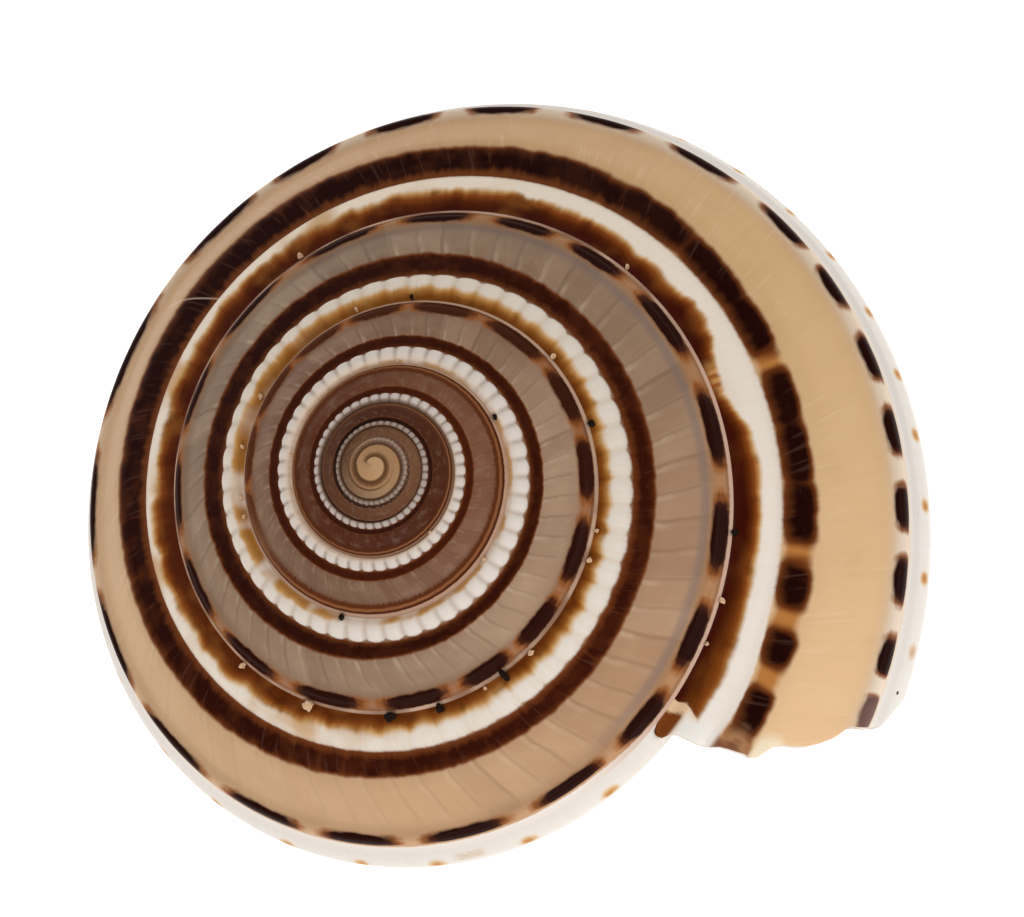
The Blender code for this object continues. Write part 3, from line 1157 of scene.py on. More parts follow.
class Surface:
    """The coordinates that the colours follow, read from the mesh."""

    def __init__(self, tree):
        self.start = Signal(tree)
        for name in ("turn", "growth", "reach", "station"):
            setattr(self, name, self.attribute(name))

    def attribute(self, name):
        """A number that the mesh keeps at the corners of its faces or at its points."""
        return self.start.node("ShaderNodeAttribute", {"attribute_name": name}, None, 2)

    def vector(self, x, y, z):
        """Three numbers as one vector."""
        return self.start.node("ShaderNodeCombineXYZ", None, {"X": x, "Y": y, "Z": z})

    def noise(self, along, across, seed=0.0, detail=2.0, roughness=0.5):
        """Mottling that is stretched as the two scaled coordinates say."""
        place = self.vector(along, across, seed)
        inputs = {"Vector": place, "Scale": 1.0, "Detail": detail, "Roughness": roughness}
        return self.start.node("ShaderNodeTexNoise", None, inputs)

    def along(self, stops, turn):
        """The colour that belongs to a growth angle."""
        first, last = stops[0][0], stops[-1][0]
        shares = [((angle - first) / (last - first), colour) for angle, colour in stops]
        share = (turn - first) / (last - first)
        return self.start.node("ShaderNodeValToRGB", {"stops": shares}, {"Fac": share})

    def spots(self, turn, centres):
        """Distance from the nearest spot's middle: 0 there, and 0.5 halfway to the next."""
        steps = [(angle, float(count)) for count, angle in enumerate(centres)]
        count = turn.curve(steps)
        return ((count + 0.5).math("FRACT") - 0.5).math("ABSOLUTE")


def ending_in(stops, colour):
    """The same colours up to the last, which the user has chosen."""
    return stops[:-1] + ((stops[-1][0], tuple(colour)),)


def flank_colour(surface, paints, fine, coarse):
    """The smooth flank: grey and wrinkled on the spire, warm and even on the last whorl."""
    turn, growth, station = surface.turn, surface.growth, surface.station
    colour = surface.along(ending_in(FLANK_COLOURS, paints.flank), turn)
    count = phase(growth, WRINKLE_SPACING) + (coarse - 0.5) * 0.25
    settings = {"noise_dimensions": "1D"}
    tone = count.node("ShaderNodeTexWhiteNoise", settings, {"W": count.math("FLOOR")})
    wrinkled = turn.curve(WRINKLE_TONES)
    colour = colour.mixed_colour(paint(212, 184, 156), above(tone, 0.45) * wrinkled * 0.30)
    colour = colour.mixed_colour(paint(96, 76, 64), above(1.0 - tone, 0.55) * wrinkled * 0.35)
    share = count.math("FRACT")
    # The groove mark is painted shade: a thin dark line in each wrinkle's groove.
    groove = share.near(0.1, 0.0, 0.1)
    crest = share.near(0.26, 0.0, 0.16)
    shown = wrinkled * station.ramp(15.0, 19.0) * station.fall(25.0, 27.0)
    colour = colour.mixed_colour(paint(78, 56, 46), groove * shown * fine * 0.44)
    near_band = station.fall(19.0, 23.0)
    # Pale streaks on the wrinkles' crests: a painted highlight.
    crest_highlights = crest * shown * above(coarse, 0.25) * (0.25 + near_band * 0.9)
    colour = colour.mixed_colour(paint(218, 192, 164), crest_highlights * 0.8)
    clouds = (coarse - 0.5) * 0.40 + (fine - 0.5) * 0.18
    scratch = surface.noise(growth * 1.5 + station * 0.10, station * 0.12, 21.0, 0.0).ramp(0.66, 0.80)
    colour = colour.mixed_colour(paint(240, 218, 190), scratch * turn.ramp(1500.0, 1600.0) * 0.12)
    colour = colour.mixed_colour(paint(242, 216, 180), above(clouds, 0.0) * 0.7)
    warm = above(clouds * -1.0, 0.05) * turn.ramp(1560.0, 1700.0)
    colour = colour.mixed_colour(paint(196, 128, 66), warm)
    return colour.mixed_colour(paint(112, 78, 56), above(clouds * -1.0, 0.0) * 0.6)


def scar_bars(surface):
    """The few brown lines of an old break in the lip."""
    near = surface.growth.near(SCAR_TURN, 1.6, 3.0)
    return near * (surface.growth * 3.6).math("SINE").ramp(-0.5, 0.7)


def crest_colour(surface, paints, fine, beads):
    """The white of the beaded rib, with painted shade between its beads, and tinted or smudged in
    places.
    """
    turn, reach = surface.turn, surface.reach
    white = surface.along(ending_in(WHITE_COLOURS, paints.white), turn)
    tint = above(fine, 0.45) * turn.ramp(1000.0, 1500.0) * (1.0 - turn.ramp(1600.0, 1680.0) * 0.6)
    white = white.mixed_colour(paint(222, 184, 140), tint * 0.8)
    # Darker in the grooves between the beads: painted shade.
    groove = beads.fall(0.0, 0.85) * turn.curve(BEAD_GROOVE_SHADE)
    white = white.mixed_colour(surface.along(SHADE_BETWEEN_BEADS, turn), groove)
    smudge = surface.noise(turn * 0.075, reach * 5.0, 15.0, 1.5).ramp(0.46, 0.64)
    smudge = smudge * turn.ramp(1500.0, 1560.0) * turn.fall(1690.0, 1730.0)
    white = white.mixed_colour(paint(196, 148, 92), smudge * 0.75)
    early = turn.fall(600.0, 740.0)
    # A cream tint beside the suture, the shell's own, made paler still as painted light against the
    # shade in the groove there.
    cream_and_painted_light = reach.fall(0.885, 0.955) * turn.ramp(640.0, 760.0) * (0.35 + fine)
    white = white.mixed_colour(paint(242, 214, 186), cream_and_painted_light * (0.85 - turn.ramp(880.0, 1080.0) * 0.4))
    inner = surface.station.fall(2.0, 6.0) * early * turn.ramp(-60.0, 120.0)
    return white.mixed_colour(paint(112, 78, 54), inner * 0.85)


def rib_colour(surface, paints, fine, beads):
    """The beaded rib: a white crest, and a brown slope beside the suture on the later whorls."""
    turn, growth, reach = surface.turn, surface.growth, surface.reach
    lobes = surface.noise(turn * 0.15, 0.0, 8.0, 1.0) - 0.5
    tongues = surface.noise(growth * 0.24, reach * 5.0, 9.0, 1.5) - 0.5
    wisps = surface.noise(growth * 0.7, reach * 3.0, 27.0, 1.0) - 0.5
    pointed = wisps + (1.0 - beads) * turn.ramp(1240.0, 1320.0) * turn.fall(1540.0, 1600.0)
    calm = 1.0 - turn.ramp(1780.0, 1800.0) * 0.65
    lobes = lobes * (1.0 + turn.ramp(1550.0, 1590.0) * turn.fall(1680.0, 1720.0) * 0.7)
    ragged = lobes * 0.040 + tongues * 0.016 + pointed * 0.013
    edge = turn.curve(SLOPE_REACH) + ragged * calm + (fine - 0.5) * 0.004
    width = turn.curve(FRINGE_WIDTH) * (surface.noise(turn * 0.09, 0.0, 23.0, 1.0) * 1.6 + 0.25)
    depth = (edge - reach) / width
    slope = surface.along(ending_in(SLOPE_COLOURS, paints.slope), turn)
    slope = slope.mixed_colour(paint(96, 42, 9), depth.fall(0.9, 2.2) * turn.ramp(1240.0, 1460.0))
    slope = slope.mixed_colour(surface.along(FRINGE_COLOURS, turn), depth.fall(0.45, 1.35))
    slope = slope.mixed_colour(paint(206, 156, 90), depth.fall(0.0, 0.75))
    patches = surface.noise(turn * 0.085, reach * 5.0, 4.0, 1.0).ramp(0.34, 0.54)
    patches = patches.mixed(1.0, turn.ramp(1230.0, 1330.0))
    cut = turn.near(SLOPE_CUT_TURN, 1.0, 4.5) * reach.ramp(0.875, 0.90)
    slope = slope.mixed_colour(paint(214, 160, 96), cut * 0.7)
    slope = slope.mixed_colour(paint(150, 78, 34), scar_bars(surface) * 0.8)
    glow = surface.noise(turn * 0.10, reach * 9.0, 16.0, 2.0).ramp(0.50, 0.70)
    glow = glow * turn.ramp(1470.0, 1560.0) * (1.0 - turn.ramp(1700.0, 1800.0) * 0.7)
    slope = slope.mixed_colour(paint(138, 82, 32), glow * 0.65)
    warm = turn.ramp(1808.0, 1834.0) * reach.ramp(0.89, 0.93)
    slope = slope.mixed_colour(paint(122, 64, 18), warm * 0.6)
    dirt = surface.noise(turn * 0.25, reach * 20.0, 11.0, 3.0).ramp(0.52, 0.70)
    slope = slope.mixed_colour(paint(52, 16, 6), dirt * 0.35 * turn.ramp(1200.0, 1480.0))
    on_slope = depth.ramp(-0.30, 0.35) * patches * turn.ramp(700.0, 1100.0)
    return crest_colour(surface, paints, fine, beads).mixed_colour(slope, on_slope)


def band_colour(surface, paints, flank, fine, coarse, speckle):
    """The dark band outside the rib, which breaks up into blotches towards the lip."""
    turn, growth, reach = surface.turn, surface.growth, surface.reach
    outer = turn.curve(BAND_EDGE)
    start = turn.curve(BAND_START)
    across = (reach * 2.0 - outer - start) / (outer - start)
    soft = surface.noise(growth * 0.30, reach * 7.0, 14.0, 1.5) - 0.5
    wisps = surface.noise(growth * 0.7, reach * 3.0, 28.0, 1.0) - 0.5
    across = across + soft * 0.34 + wisps * 0.16 + (coarse - 0.5) * 0.16
    parted = turn.curve(BLOTCH_GAPS)
    along = surface.spots(turn, BAND_BLOTCHES) * 2.35 + (fine - 0.5) * 0.10 + soft * 0.45 + 0.04
    far = (across ** 4.0 + (along ** 3.2) * parted).math("SQRT").math("SQRT")
    top = surface.along(BAND_TOP_COLOURS, turn)
    band = surface.along(ending_in(BAND_COLOURS, paints.band), turn)
    streak = surface.noise(growth * 0.34, reach * 2.0, 5.0, 2.0)
    blotchy = surface.noise(growth * 0.16, reach * 9.0, 17.0, 2.0).ramp(0.46, 0.66)
    late = turn.ramp(1715.0, 1760.0)
    solid = turn.ramp(1590.0, 1650.0)
    feather = above(across.math("ABSOLUTE"), 0.35) * streak.ramp(0.34, 0.62) * (1.0 - solid * 0.4)
    feather = feather.math("MAXIMUM", blotchy * (0.24 - solid * 0.1))
    band = band.mixed_colour(top, feather * (1.0 - late * 0.85))
    inwards = reach - start + soft * 0.03 + wisps * 0.035 + (fine - 0.5) * 0.01
    inner_edge = inwards.fall(0.004, 0.034)
    band = band.mixed_colour(top, inner_edge * (1.0 - late * 0.55) * 0.9)
    streaked = streak.ramp(0.60, 0.78) * turn.ramp(1280.0, 1600.0)
    band = band.mixed_colour(paint(120, 64, 30), streaked * 0.5)
    band = band.mixed_colour(paint(110, 84, 78), above(speckle, 0.63) * 1.2)
    # Thin pale lines along the growth striae of the dark band: a painted highlight.
    lines = surface.noise(growth * 1.5 + reach * 20.0, reach * 7.0, 22.0, 0.0).ramp(0.68, 0.80)
    band = band.mixed_colour(paint(132, 96, 80), lines * 0.12 * turn.ramp(1380.0, 1450.0))
    between = flank.mixed_colour(paint(186, 122, 62), across.math("ABSOLUTE").fall(0.45, 1.12))
    fringe = between.mixed_colour(paint(112, 56, 22), far.fall(0.96, 1.30))
    return fringe.mixed_colour(band, (far + (fine - 0.5) * 0.08).fall(0.78 - late * 0.06, 1.08))


def rim_colour(surface, paints, colour, fine):
    """The upper peripheral rib: pale, with dark spots that run together on the early whorls."""
    turn, growth, station = surface.turn, surface.growth, surface.station
    late = turn.ramp(1480.0, 1500.0)
    pale = surface.along(GAP_COLOURS, turn)
    lightened = station.ramp(25.8, 29.2) * turn.ramp(1560.0, 1720.0)
    colour = colour.mixed_colour(pale, lightened * 0.8)
    grown = turn.ramp(850.0, 900.0)
    colour = colour.mixed_colour(pale, station.ramp(26.8, 29.4) * grown * 0.75)
    nearest = surface.spots(turn, UPPER_SPOTS) + (fine - 0.5) * 0.08
    inner = above(SPOT_STATION - station, 0.0) / turn.curve(SPOT_WIDTH)
    outer = above(station - 30.8, 0.0) / (3.0 - late * 1.9)
    along = nearest / turn.curve(SPOT_LENGTH)
    ragged = surface.noise(growth * 0.40, station * 0.8, 19.0, 1.0) - 0.5
    far = (along ** 3.0 + inner ** 2.6 + outer * outer).math("SQRT") + ragged * 0.34 + 0.02
    near_rim = station.ramp(25.0, 26.5)
    halo = far.fall(0.90, 1.30) * grown * (0.2 + along.ramp(0.5, 0.9) * 0.8)
    colour = colour.mixed_colour(paint(150, 86, 38), halo * near_rim * 0.9)
    joined = (station + (fine - 0.5) * 3.0).ramp(26.8, 28.2) * (1.0 - grown) * turn.ramp(60.0, 260.0)
    spotted = far.fall(0.66, 1.06) * grown
    dark = surface.along(ending_in(SPOT_COLOURS, paints.spots), turn)
    cords = station.near(SPOT_STATION, 0.2, 1.1) * (1.0 - grown)
    dark = dark.mixed_colour(paint(162, 106, 66), cords * 0.55)
    dark = dark.mixed_colour(paint(96, 46, 20), along.ramp(0.55, 0.95) * grown * 0.7)
    dark = dark.mixed_colour(paint(132, 100, 92), turn.ramp(1821.5, 1825.5) * 0.7)
    grey = (1.0 - late) * grown * station.near(26.6, 0.3, 1.2)
    colour = colour.mixed_colour(paint(122, 108, 108), grey * 0.4 * turn.ramp(1250.0, 1420.0))
    colour = colour.mixed_colour(dark, spotted.math("MAXIMUM", joined) * near_rim)
    young = turn.fall(850.0, 1000.0)
    gutter = (station + young * 0.7).near(32.7, 0.1, 0.6) * (1.0 - late) * turn.ramp(0.0, 200.0)
    gutter = gutter * (0.75 - turn.ramp(900.0, 1150.0) * 0.5)
    colour = colour.mixed_colour(paint(58, 26, 14), gutter)
    ledge = surface.along(LEDGE_COLOURS, turn)
    worn = surface.noise(turn * 0.07, 0.0, 29.0, 2.0).ramp(0.36, 0.60)
    worn = worn * turn.ramp(1040.0, 1120.0) * turn.fall(1390.0, 1430.0)
    ledge = ledge.mixed_colour(paint(122, 82, 60), worn * 0.75)
    start = 32.95 - late * 0.7 - young * 0.55
    on_ledge = (station + (fine - 0.5) * 0.4 - start).ramp(-0.15, 0.25) * turn.ramp(60.0, 200.0)
    return colour.mixed_colour(ledge, on_ledge)


def lip_colour(surface, colour, fine):
    """Chipped, thinner and paler places along the broken lip."""
    turn, reach = surface.turn, surface.reach
    crack = turn + (fine - 0.5) * 3.0 + (reach * 90.0).math("SINE") * 0.5
    slope_end = crack.ramp(1838.4, 1838.9) * reach.fall(0.962, 0.972)
    chip = reach.fall(0.926, 0.940) * crack.ramp(1840.3, 1841.3)
    inputs = {0: chip, 6: paint(226, 190, 150) + (1.0,), 7: paint(122, 62, 24) + (1.0,)}
    broken = chip.node("ShaderNodeMix", {"data_type": "RGBA"}, inputs, 2)
    colour = colour.mixed_colour(broken, slope_end)
    flake = crack.ramp(1838.0, 1840.5) * reach.ramp(0.925, 0.945) * reach.fall(1.016, 1.030)
    colour = colour.mixed_colour(paint(233, 226, 217), flake)
    on_band = reach.ramp(1.008, 1.026) * reach.fall(1.095, 1.110)
    colour = colour.mixed_colour(paint(196, 142, 98), crack.ramp(1835.2, 1839.0) * on_band * 0.72)
    colour = colour.mixed_colour(paint(112, 66, 44), crack.ramp(1838.4, 1840.0) * on_band * 0.8)
    tab = crack.ramp(1834.0, 1837.0) * reach.ramp(1.098, 1.115) * reach.fall(1.140, 1.165)
    return colour.mixed_colour(paint(238, 222, 192), tab * 0.9)


def first_whorls_colour(surface, colour, coarse):
    """The smooth first whorls, with a brown line along their suture, and the first grey beads."""
    turn, growth, reach, station = surface.turn, surface.growth, surface.reach, surface.station
    embryo = (turn + (coarse - 0.5) * 60.0 + reach.ramp(0.99, 1.03) * 190.0).fall(-190.0, -60.0)
    smooth = surface.along(FIRST_WHORL_COLOURS, turn)
    suture = station.fall(0.5, 5.5) * turn.ramp(-560.0, -480.0) + station.ramp(29.5, 32.5)
    colour = colour.mixed_colour(smooth, embryo)
    speck = surface.noise(growth * 0.35, reach * 26.0, 18.0, 2.0)
    colour = colour.mixed_colour(paint(104, 72, 48), above(speck, 0.56) * embryo * 3.0)
    colour = colour.mixed_colour(paint(198, 176, 150), above(1.0 - speck, 0.56) * embryo * 3.0)
    colour = colour.mixed_colour(paint(82, 48, 26), suture * turn.fall(0.0, 160.0) * 0.85)
    grey = above(surface.noise(growth * 0.25, reach * 30.0, 12.0, 3.0), 0.52) * 3.0
    first_beads = turn.near(-10.0, 90.0, 190.0) * station.ramp(6.0, 10.0) * station.fall(13.0, 22.0)
    return colour.mixed_colour(paint(196, 176, 158), grey * first_beads)


def upper_colours(surface, paints):
    """Base colour, roughness and height of the shell's upper side."""
    turn, growth, reach = surface.turn, surface.growth, surface.reach
    fine = surface.noise(growth * 0.9, reach * 10.0, 1.0, 3.0)
    coarse = surface.noise(growth * 0.11, reach * 9.0, 2.0, 3.0)
    speckle = surface.noise(growth * 0.5, reach * 90.0, 3.0, 4.0, 0.6)
    flank = flank_colour(surface, paints, fine, coarse)
    beads = ridges(growth, BEAD_SPACING, PAINTED_SHARPNESS)
    rib = rib_colour(surface, paints, fine, beads)
    colour = band_colour(surface, paints, flank, fine, coarse, speckle)
    scallop = (1.0 - beads) * 0.012 * turn.fall(1300.0, 1600.0)
    step = reach + (fine - 0.5) * 0.006 + scallop + 1.004 - turn.curve(BAND_START)
    colour = rib.mixed_colour(colour, step.ramp(0.996, 1.004))
    arc = (turn - (1.18 - reach) * 38.0).near(SCRATCH_TURN, 0.06, 0.30)
    scratch = arc * reach.ramp(0.955, 0.975) * reach.fall(1.18, 1.20)
    colour = colour.mixed_colour(paint(224, 200, 178), scratch * 0.42)
    colour = rim_colour(surface, paints, colour, fine)
    colour = lip_colour(surface, colour, fine)
    colour = first_whorls_colour(surface, colour, coarse)
    roughness = 0.34 + (fine - 0.5) * 0.16
    height = (fine - 0.5) * 0.5 + (speckle - 0.5) * 0.25
    return colour, roughness, height


def base_colours(surface, _):
    """The base: a white rib with spots at the edge, and fine lines round the umbilicus."""
    turn, growth, reach, station = surface.turn, surface.growth, surface.reach, surface.station
    fine = surface.noise(growth * 0.9, reach * 14.0, 1.0, 3.0)
    coarse = surface.noise(growth * 0.11, reach * 9.0, 2.0, 3.0)
    base_station = station - UPPER_COLUMNS
    colour = surface.along(LOWER_RIB_COLOURS, turn)
    colour = colour.mixed_colour(paint(214, 190, 160), above(fine, 0.42) * 0.5)
    spot = surface.spots(turn, LOWER_SPOTS) + (fine - 0.5) * 0.12
    across = (base_station - 2.3) / 1.2
    far = (spot * spot * 60.0 + across * across).math("SQRT")
    strength = 0.85 - turn.ramp(1810.0, 1817.0) * 0.4
    colour = colour.mixed_colour(paint(212, 164, 96), far.fall(0.45, 1.15) * strength)
    colour = colour.mixed_colour(paint(184, 118, 52), far.fall(0.15, 0.70) * strength)
    crust = turn.near(CRUST_TURN, 1.5, 3.5) * base_station.near(1.4, 0.3, 0.9)
    crumbs = surface.noise(growth * 2.8, base_station * 5.5, 24.0, 3.0).ramp(0.42, 0.62)
    colour = colour.mixed_colour(paint(202, 172, 136), crust * (0.25 + crumbs * 0.6))
    speck_along = ((turn - SPECK_TURN) * 1.9) ** 2.0
    speck = (speck_along + ((base_station - SPECK_STATION) * 1.8) ** 2.0).math("SQRT")
    colour = colour.mixed_colour(paint(38, 28, 26), speck.fall(0.35, 0.55))
    tan = base_station.ramp(9.5, 12.0) * base_station.fall(18.4, 19.2)
    colour = colour.mixed_colour(paint(214, 180, 140), tan * 0.75)
    rays = surface.noise(growth * 0.16, base_station * 0.12, 25.0, 2.0).ramp(0.46, 0.72)
    colour = colour.mixed_colour(paint(176, 128, 82), rays * tan * 0.5)
    lines = surface.noise(growth * 1.2, base_station * 0.15, 26.0, 1.0).ramp(0.58, 0.72)
    colour = colour.mixed_colour(paint(150, 104, 66), lines * tan * 0.35)
    groove = base_station.ramp(19.2, 20.0) * base_station.fall(20.0, 20.8)
    colour = colour.mixed_colour(paint(120, 72, 36), groove * 0.8)
    wall = base_station.ramp(22.4, 23.6)
    inside = surface.noise(growth * 0.2, station * 1.5, 6.0, 2.0).ramp(0.35, 0.7)
    colour = colour.mixed_colour(paint(190, 140, 98), wall * (0.4 + inside * 0.4))
    roughness = 0.34 + (coarse - 0.5) * 0.15
    return colour, roughness, (fine - 0.5) * 0.8


def inside_colours(surface, _):
    """The glaze inside the mouth, mottled between white and tan."""
    fine = surface.noise(surface.growth * 0.5, surface.station * 0.6, 7.0, 2.0)
    colour = surface.along(GLAZE_COLOURS, fine)
    return colour, 0.26 + (fine - 0.5) * 0.1, (fine - 0.5) * 0.3


def sand_colours(surface, paints):
    """Tan or nearly black grains, each a little mottled."""
    shade = surface.attribute("shade")
    place = surface.start.node("ShaderNodeTexCoord", None, None, 3)
    inputs = {"Vector": place, "Scale": GRAIN_MOTTLE, "Detail": 2.0}
    mottle = surface.start.node("ShaderNodeTexNoise", None, inputs)
    pale = surface.along(((0.3, tuple(paints.sand)), (0.75, paint(236, 206, 170))), mottle)
    colour = pale.mixed_colour(paint(30, 22, 18), shade)
    return colour, 0.75 + (mottle - 0.5) * 0.3, mottle


def finish_with(name, colours, paints, bump, coat):
    """A material whose colour, roughness and height come from the given function."""
    material = bpy.data.materials.new(name)
    material.use_nodes = True
    tree = material.node_tree
    shader = tree.nodes["Principled BSDF"]
    colour, roughness, height = colours(Surface(tree), paints)
    tree.links.new(colour.socket, shader.inputs["Base Color"])
    tree.links.new(roughness.socket, shader.inputs["Roughness"])
    inputs = {"Strength": bump, "Distance": BUMP_DEPTH, "Height": height}
    relief = height.node("ShaderNodeBump", None, inputs)
    tree.links.new(relief.socket, shader.inputs["Normal"])
    shader.inputs["Specular IOR Level"].default_value = SPECULAR_LEVEL
    shader.inputs["Coat Weight"].default_value = coat
    shader.inputs["Coat Roughness"].default_value = COAT_ROUGHNESS
    return material


def sand_tree(sizes, grain_size, material):
    """Grains of sand that lie along the suture, each turned and dented in its own way."""
    parts = growth_groups(sizes)
    inputs = {**sizes, "Grain size": grain_size}
    tree, signals, sockets, exit_node = tree_with("sand_in_suture", inputs, MESH_OUTPUT)
    scale = signals.pop("Grain size")
    growth = Growth(tree, signals, parts)
    start = growth.start
    index = start.node("GeometryNodeInputIndex")
    angle, size, shade = (index.curve(list(enumerate(column))) for column in zip(*SAND_GRAINS))
    size = size * MM
    line = (angle - LIP_TURN) / LINE_ANGLE + LAST_LINE
    place = growth.point("joined_upper", line, line * 0.0 + GRAIN_STATION)
    position = place.position.vector("ADD", growth.vector(0.0, 0.0, size * GRAIN_LIFT))
    inputs = {"Count": len(SAND_GRAINS), "Position": position, "Radius": 0.0}
    points = start.node("GeometryNodePoints", None, inputs)
    settings = {"data_type": "FLOAT", "domain": "POINT"}
    inputs = {"Geometry": points, "Name": "shade", "Value": shade}
    points = points.node("GeometryNodeStoreNamedAttribute", settings, inputs)
    grain = start.node("GeometryNodeMeshIcoSphere", None, {"Radius": 0.5, "Subdivisions": 2})
    here = start.node("GeometryNodeInputPosition")
    dents = start.node("ShaderNodeTexNoise", None, {"Vector": here, "Scale": 2.2, "Detail": 1.0})
    offset = here.scaled((dents - 0.5) * 1.6)
    grain = grain.node("GeometryNodeSetPosition", None, {"Geometry": grain, "Offset": offset})
    settings = {"data_type": "FLOAT_VECTOR"}
    inputs = {0: (0.0, 0.0, 0.0), 1: (6.3, 6.3, 6.3), "Seed": SPIN_SEED}
    spin = start.node("FunctionNodeRandomValue", settings, inputs)
    inputs = {0: (0.8, 0.6, 0.5), 1: (1.3, 1.0, 0.9), "Seed": STRETCH_SEED}
    stretch = start.node("FunctionNodeRandomValue", settings, inputs)
    stretch = stretch.scaled(size * scale)
    inputs = {"Points": points, "Instance": grain, "Rotation": spin, "Scale": stretch}
    grains = points.node("GeometryNodeInstanceOnPoints", None, inputs)
    grains = grains.node("GeometryNodeRealizeInstances", None, {"Geometry": grains})
    grains = grains.node("GeometryNodeSetMaterial", None, {"Geometry": grains, "Material": material})
    tree.links.new(grains.socket, exit_node.inputs[0])
    return tree, sockets


class SUNDIAL_PG_sizes(bpy.types.PropertyGroup):
    """The law of growth, and the height of the relief."""

    rib_radius: bpy.props.FloatProperty(
        name="Rib radius",
        description="Distance of the rib's outer edge from the axis, at the lip",
        default=23.58 * MM,
        min=5.0 * MM,
        max=60.0 * MM,
        precision=5,
        unit="LENGTH",
        subtype="DISTANCE",
    )
    growth_per_turn: bpy.props.FloatProperty(
        name="Growth per turn",
        description="How fast the radius falls from the lip back along the spire",
        default=0.3680,
        precision=4,
    )
    growth_change: bpy.props.FloatProperty(
        name="Growth change",
        description="How much faster the radius falls with each turn back",
        default=0.0476,
        precision=4,
    )
    early_growth: bpy.props.FloatProperty(
        name="Early growth",
        description="How the fall of the radius eases on the first whorls",
        default=0.0054,
        precision=4,
    )
    spire_slope: bpy.props.FloatProperty(
        name="Spire slope",
        description="How steeply the spire falls beside its tip",
        default=0.2612,
        precision=4,
    )
    spire_doming: bpy.props.FloatProperty(
        name="Spire doming",
        description="How much steeper the spire gets with each metre of radius",
        default=14.1,
    )
    seam_overhang: bpy.props.FloatProperty(
        name="Seam overhang",
        description="How far the lower rib stands out below the seam of the whorls",
        default=0.33 * MM,
        min=0.0,
        precision=5,
        unit="LENGTH",
        subtype="DISTANCE",
    )
    bead_height: bpy.props.FloatProperty(
        name="Bead height",
        description="Share of the natural height of the beads of the rib",
        default=1.0,
        min=0.0,
        max=2.0,
    )
    wrinkle_height: bpy.props.FloatProperty(
        name="Wrinkle height",
        description="Share of the natural height of the flank's wrinkles",
        default=1.0,
        min=0.0,
        max=3.0,
    )
    cord_bead: bpy.props.FloatProperty(
        name="Cord bead",
        description="Height of the teeth of the umbilical cord, as a share of the whorl's radius",
        default=0.022,
        min=0.0,
        max=0.05,
    )
    lip_chips: bpy.props.FloatProperty(
        name="Lip chips",
        description="How deeply the lip is chipped, from 0 for a whole lip",
        default=1.0,
        min=0.0,
        max=1.5,
    )
    lip_rounding: bpy.props.FloatProperty(
        name="Lip rounding",
        description="How far the lip's rounded edge stands forward, in growth lines",
        default=0.4,
        min=0.0,
        max=2.0,
    )
    lip_thickness: bpy.props.FloatProperty(
        name="Lip thickness",
        description="Thickness of the wall at the lip",
        default=0.32 * MM,
        min=0.1 * MM,
        precision=5,
        unit="LENGTH",
        subtype="DISTANCE",
    )


class SUNDIAL_PG_colours(bpy.types.PropertyGroup):
    """The shell's colours near the lip, and the colour of the sand."""

    flank: bpy.props.FloatVectorProperty(
        name="Flank",
        description="Tan of the smooth flank of the last whorl",
        default=paint(226, 187, 143),
        min=0.0,
        max=1.0,
        subtype="COLOR",
    )
    white: bpy.props.FloatVectorProperty(
        name="Rib crest",
        description="White of the rib's crest",
        default=paint(232, 222, 212),
        min=0.0,
        max=1.0,
        subtype="COLOR",
    )
    slope: bpy.props.FloatVectorProperty(
        name="Rib slope",
        description="Deep brown of the slope between the suture and the rib's crest",
        default=paint(60, 13, 4),
        min=0.0,
        max=1.0,
        subtype="COLOR",
    )
    band: bpy.props.FloatVectorProperty(
        name="Dark band",
        description="Nearly black brown of the band outside the rib",
        default=paint(30, 5, 3),
        min=0.0,
        max=1.0,
        subtype="COLOR",
    )
    spots: bpy.props.FloatVectorProperty(
        name="Rim spots",
        description="Dark brown of the spots on the rim",
        default=paint(32, 8, 5),
        min=0.0,
        max=1.0,
        subtype="COLOR",
    )
    sand: bpy.props.FloatVectorProperty(
        name="Sand",
        description="Colour of the pale grains of sand",
        default=paint(196, 150, 110),
        min=0.0,
        max=1.0,
        subtype="COLOR",
    )


class SUNDIAL_PG_studio(bpy.types.PropertyGroup):
    """The sand's size, the floor and the light."""

    grain_size: bpy.props.FloatProperty(
        name="Grain size",
        description="Share of the natural size of the grains of sand",
        default=1.0,
        min=0.1,
        max=3.0,
    )
    floor: bpy.props.FloatVectorProperty(
        name="Floor",
        description="Colour of the floor",
        default=(0.9, 0.9, 0.9),
        min=0.0,
        max=1.0,
        subtype="COLOR",
    )
    floor_glow: bpy.props.FloatProperty(
        name="Floor glow",
        description="How strongly the floor shines by itself, as a light table does",
        default=0.55,
        min=0.0,
    )
    sky: bpy.props.FloatProperty(
        name="Sky",
        description="Strength of the even light from all round",
        default=0.36,
        min=0.0,
    )
    lamp_power: bpy.props.FloatProperty(
        name="Lamp power",
        description="Power of the brightest soft lamp",
        default=1.04,
        min=0.0,
        unit="POWER",
    )
    move: bpy.props.FloatVectorProperty(
        name="Shift",
        description="How far the grown shell was moved to its place on the floor",
        default=(0.0, 0.0, 0.0),
        precision=6,
        subtype="TRANSLATION",
        unit="LENGTH",
    )


def values_of(settings):
    """The named numbers of a group of settings."""
    found = {}
    for item in settings.bl_rna.properties:
        if item.is_runtime:
            found[item.name] = getattr(settings, item.identifier)
    return found


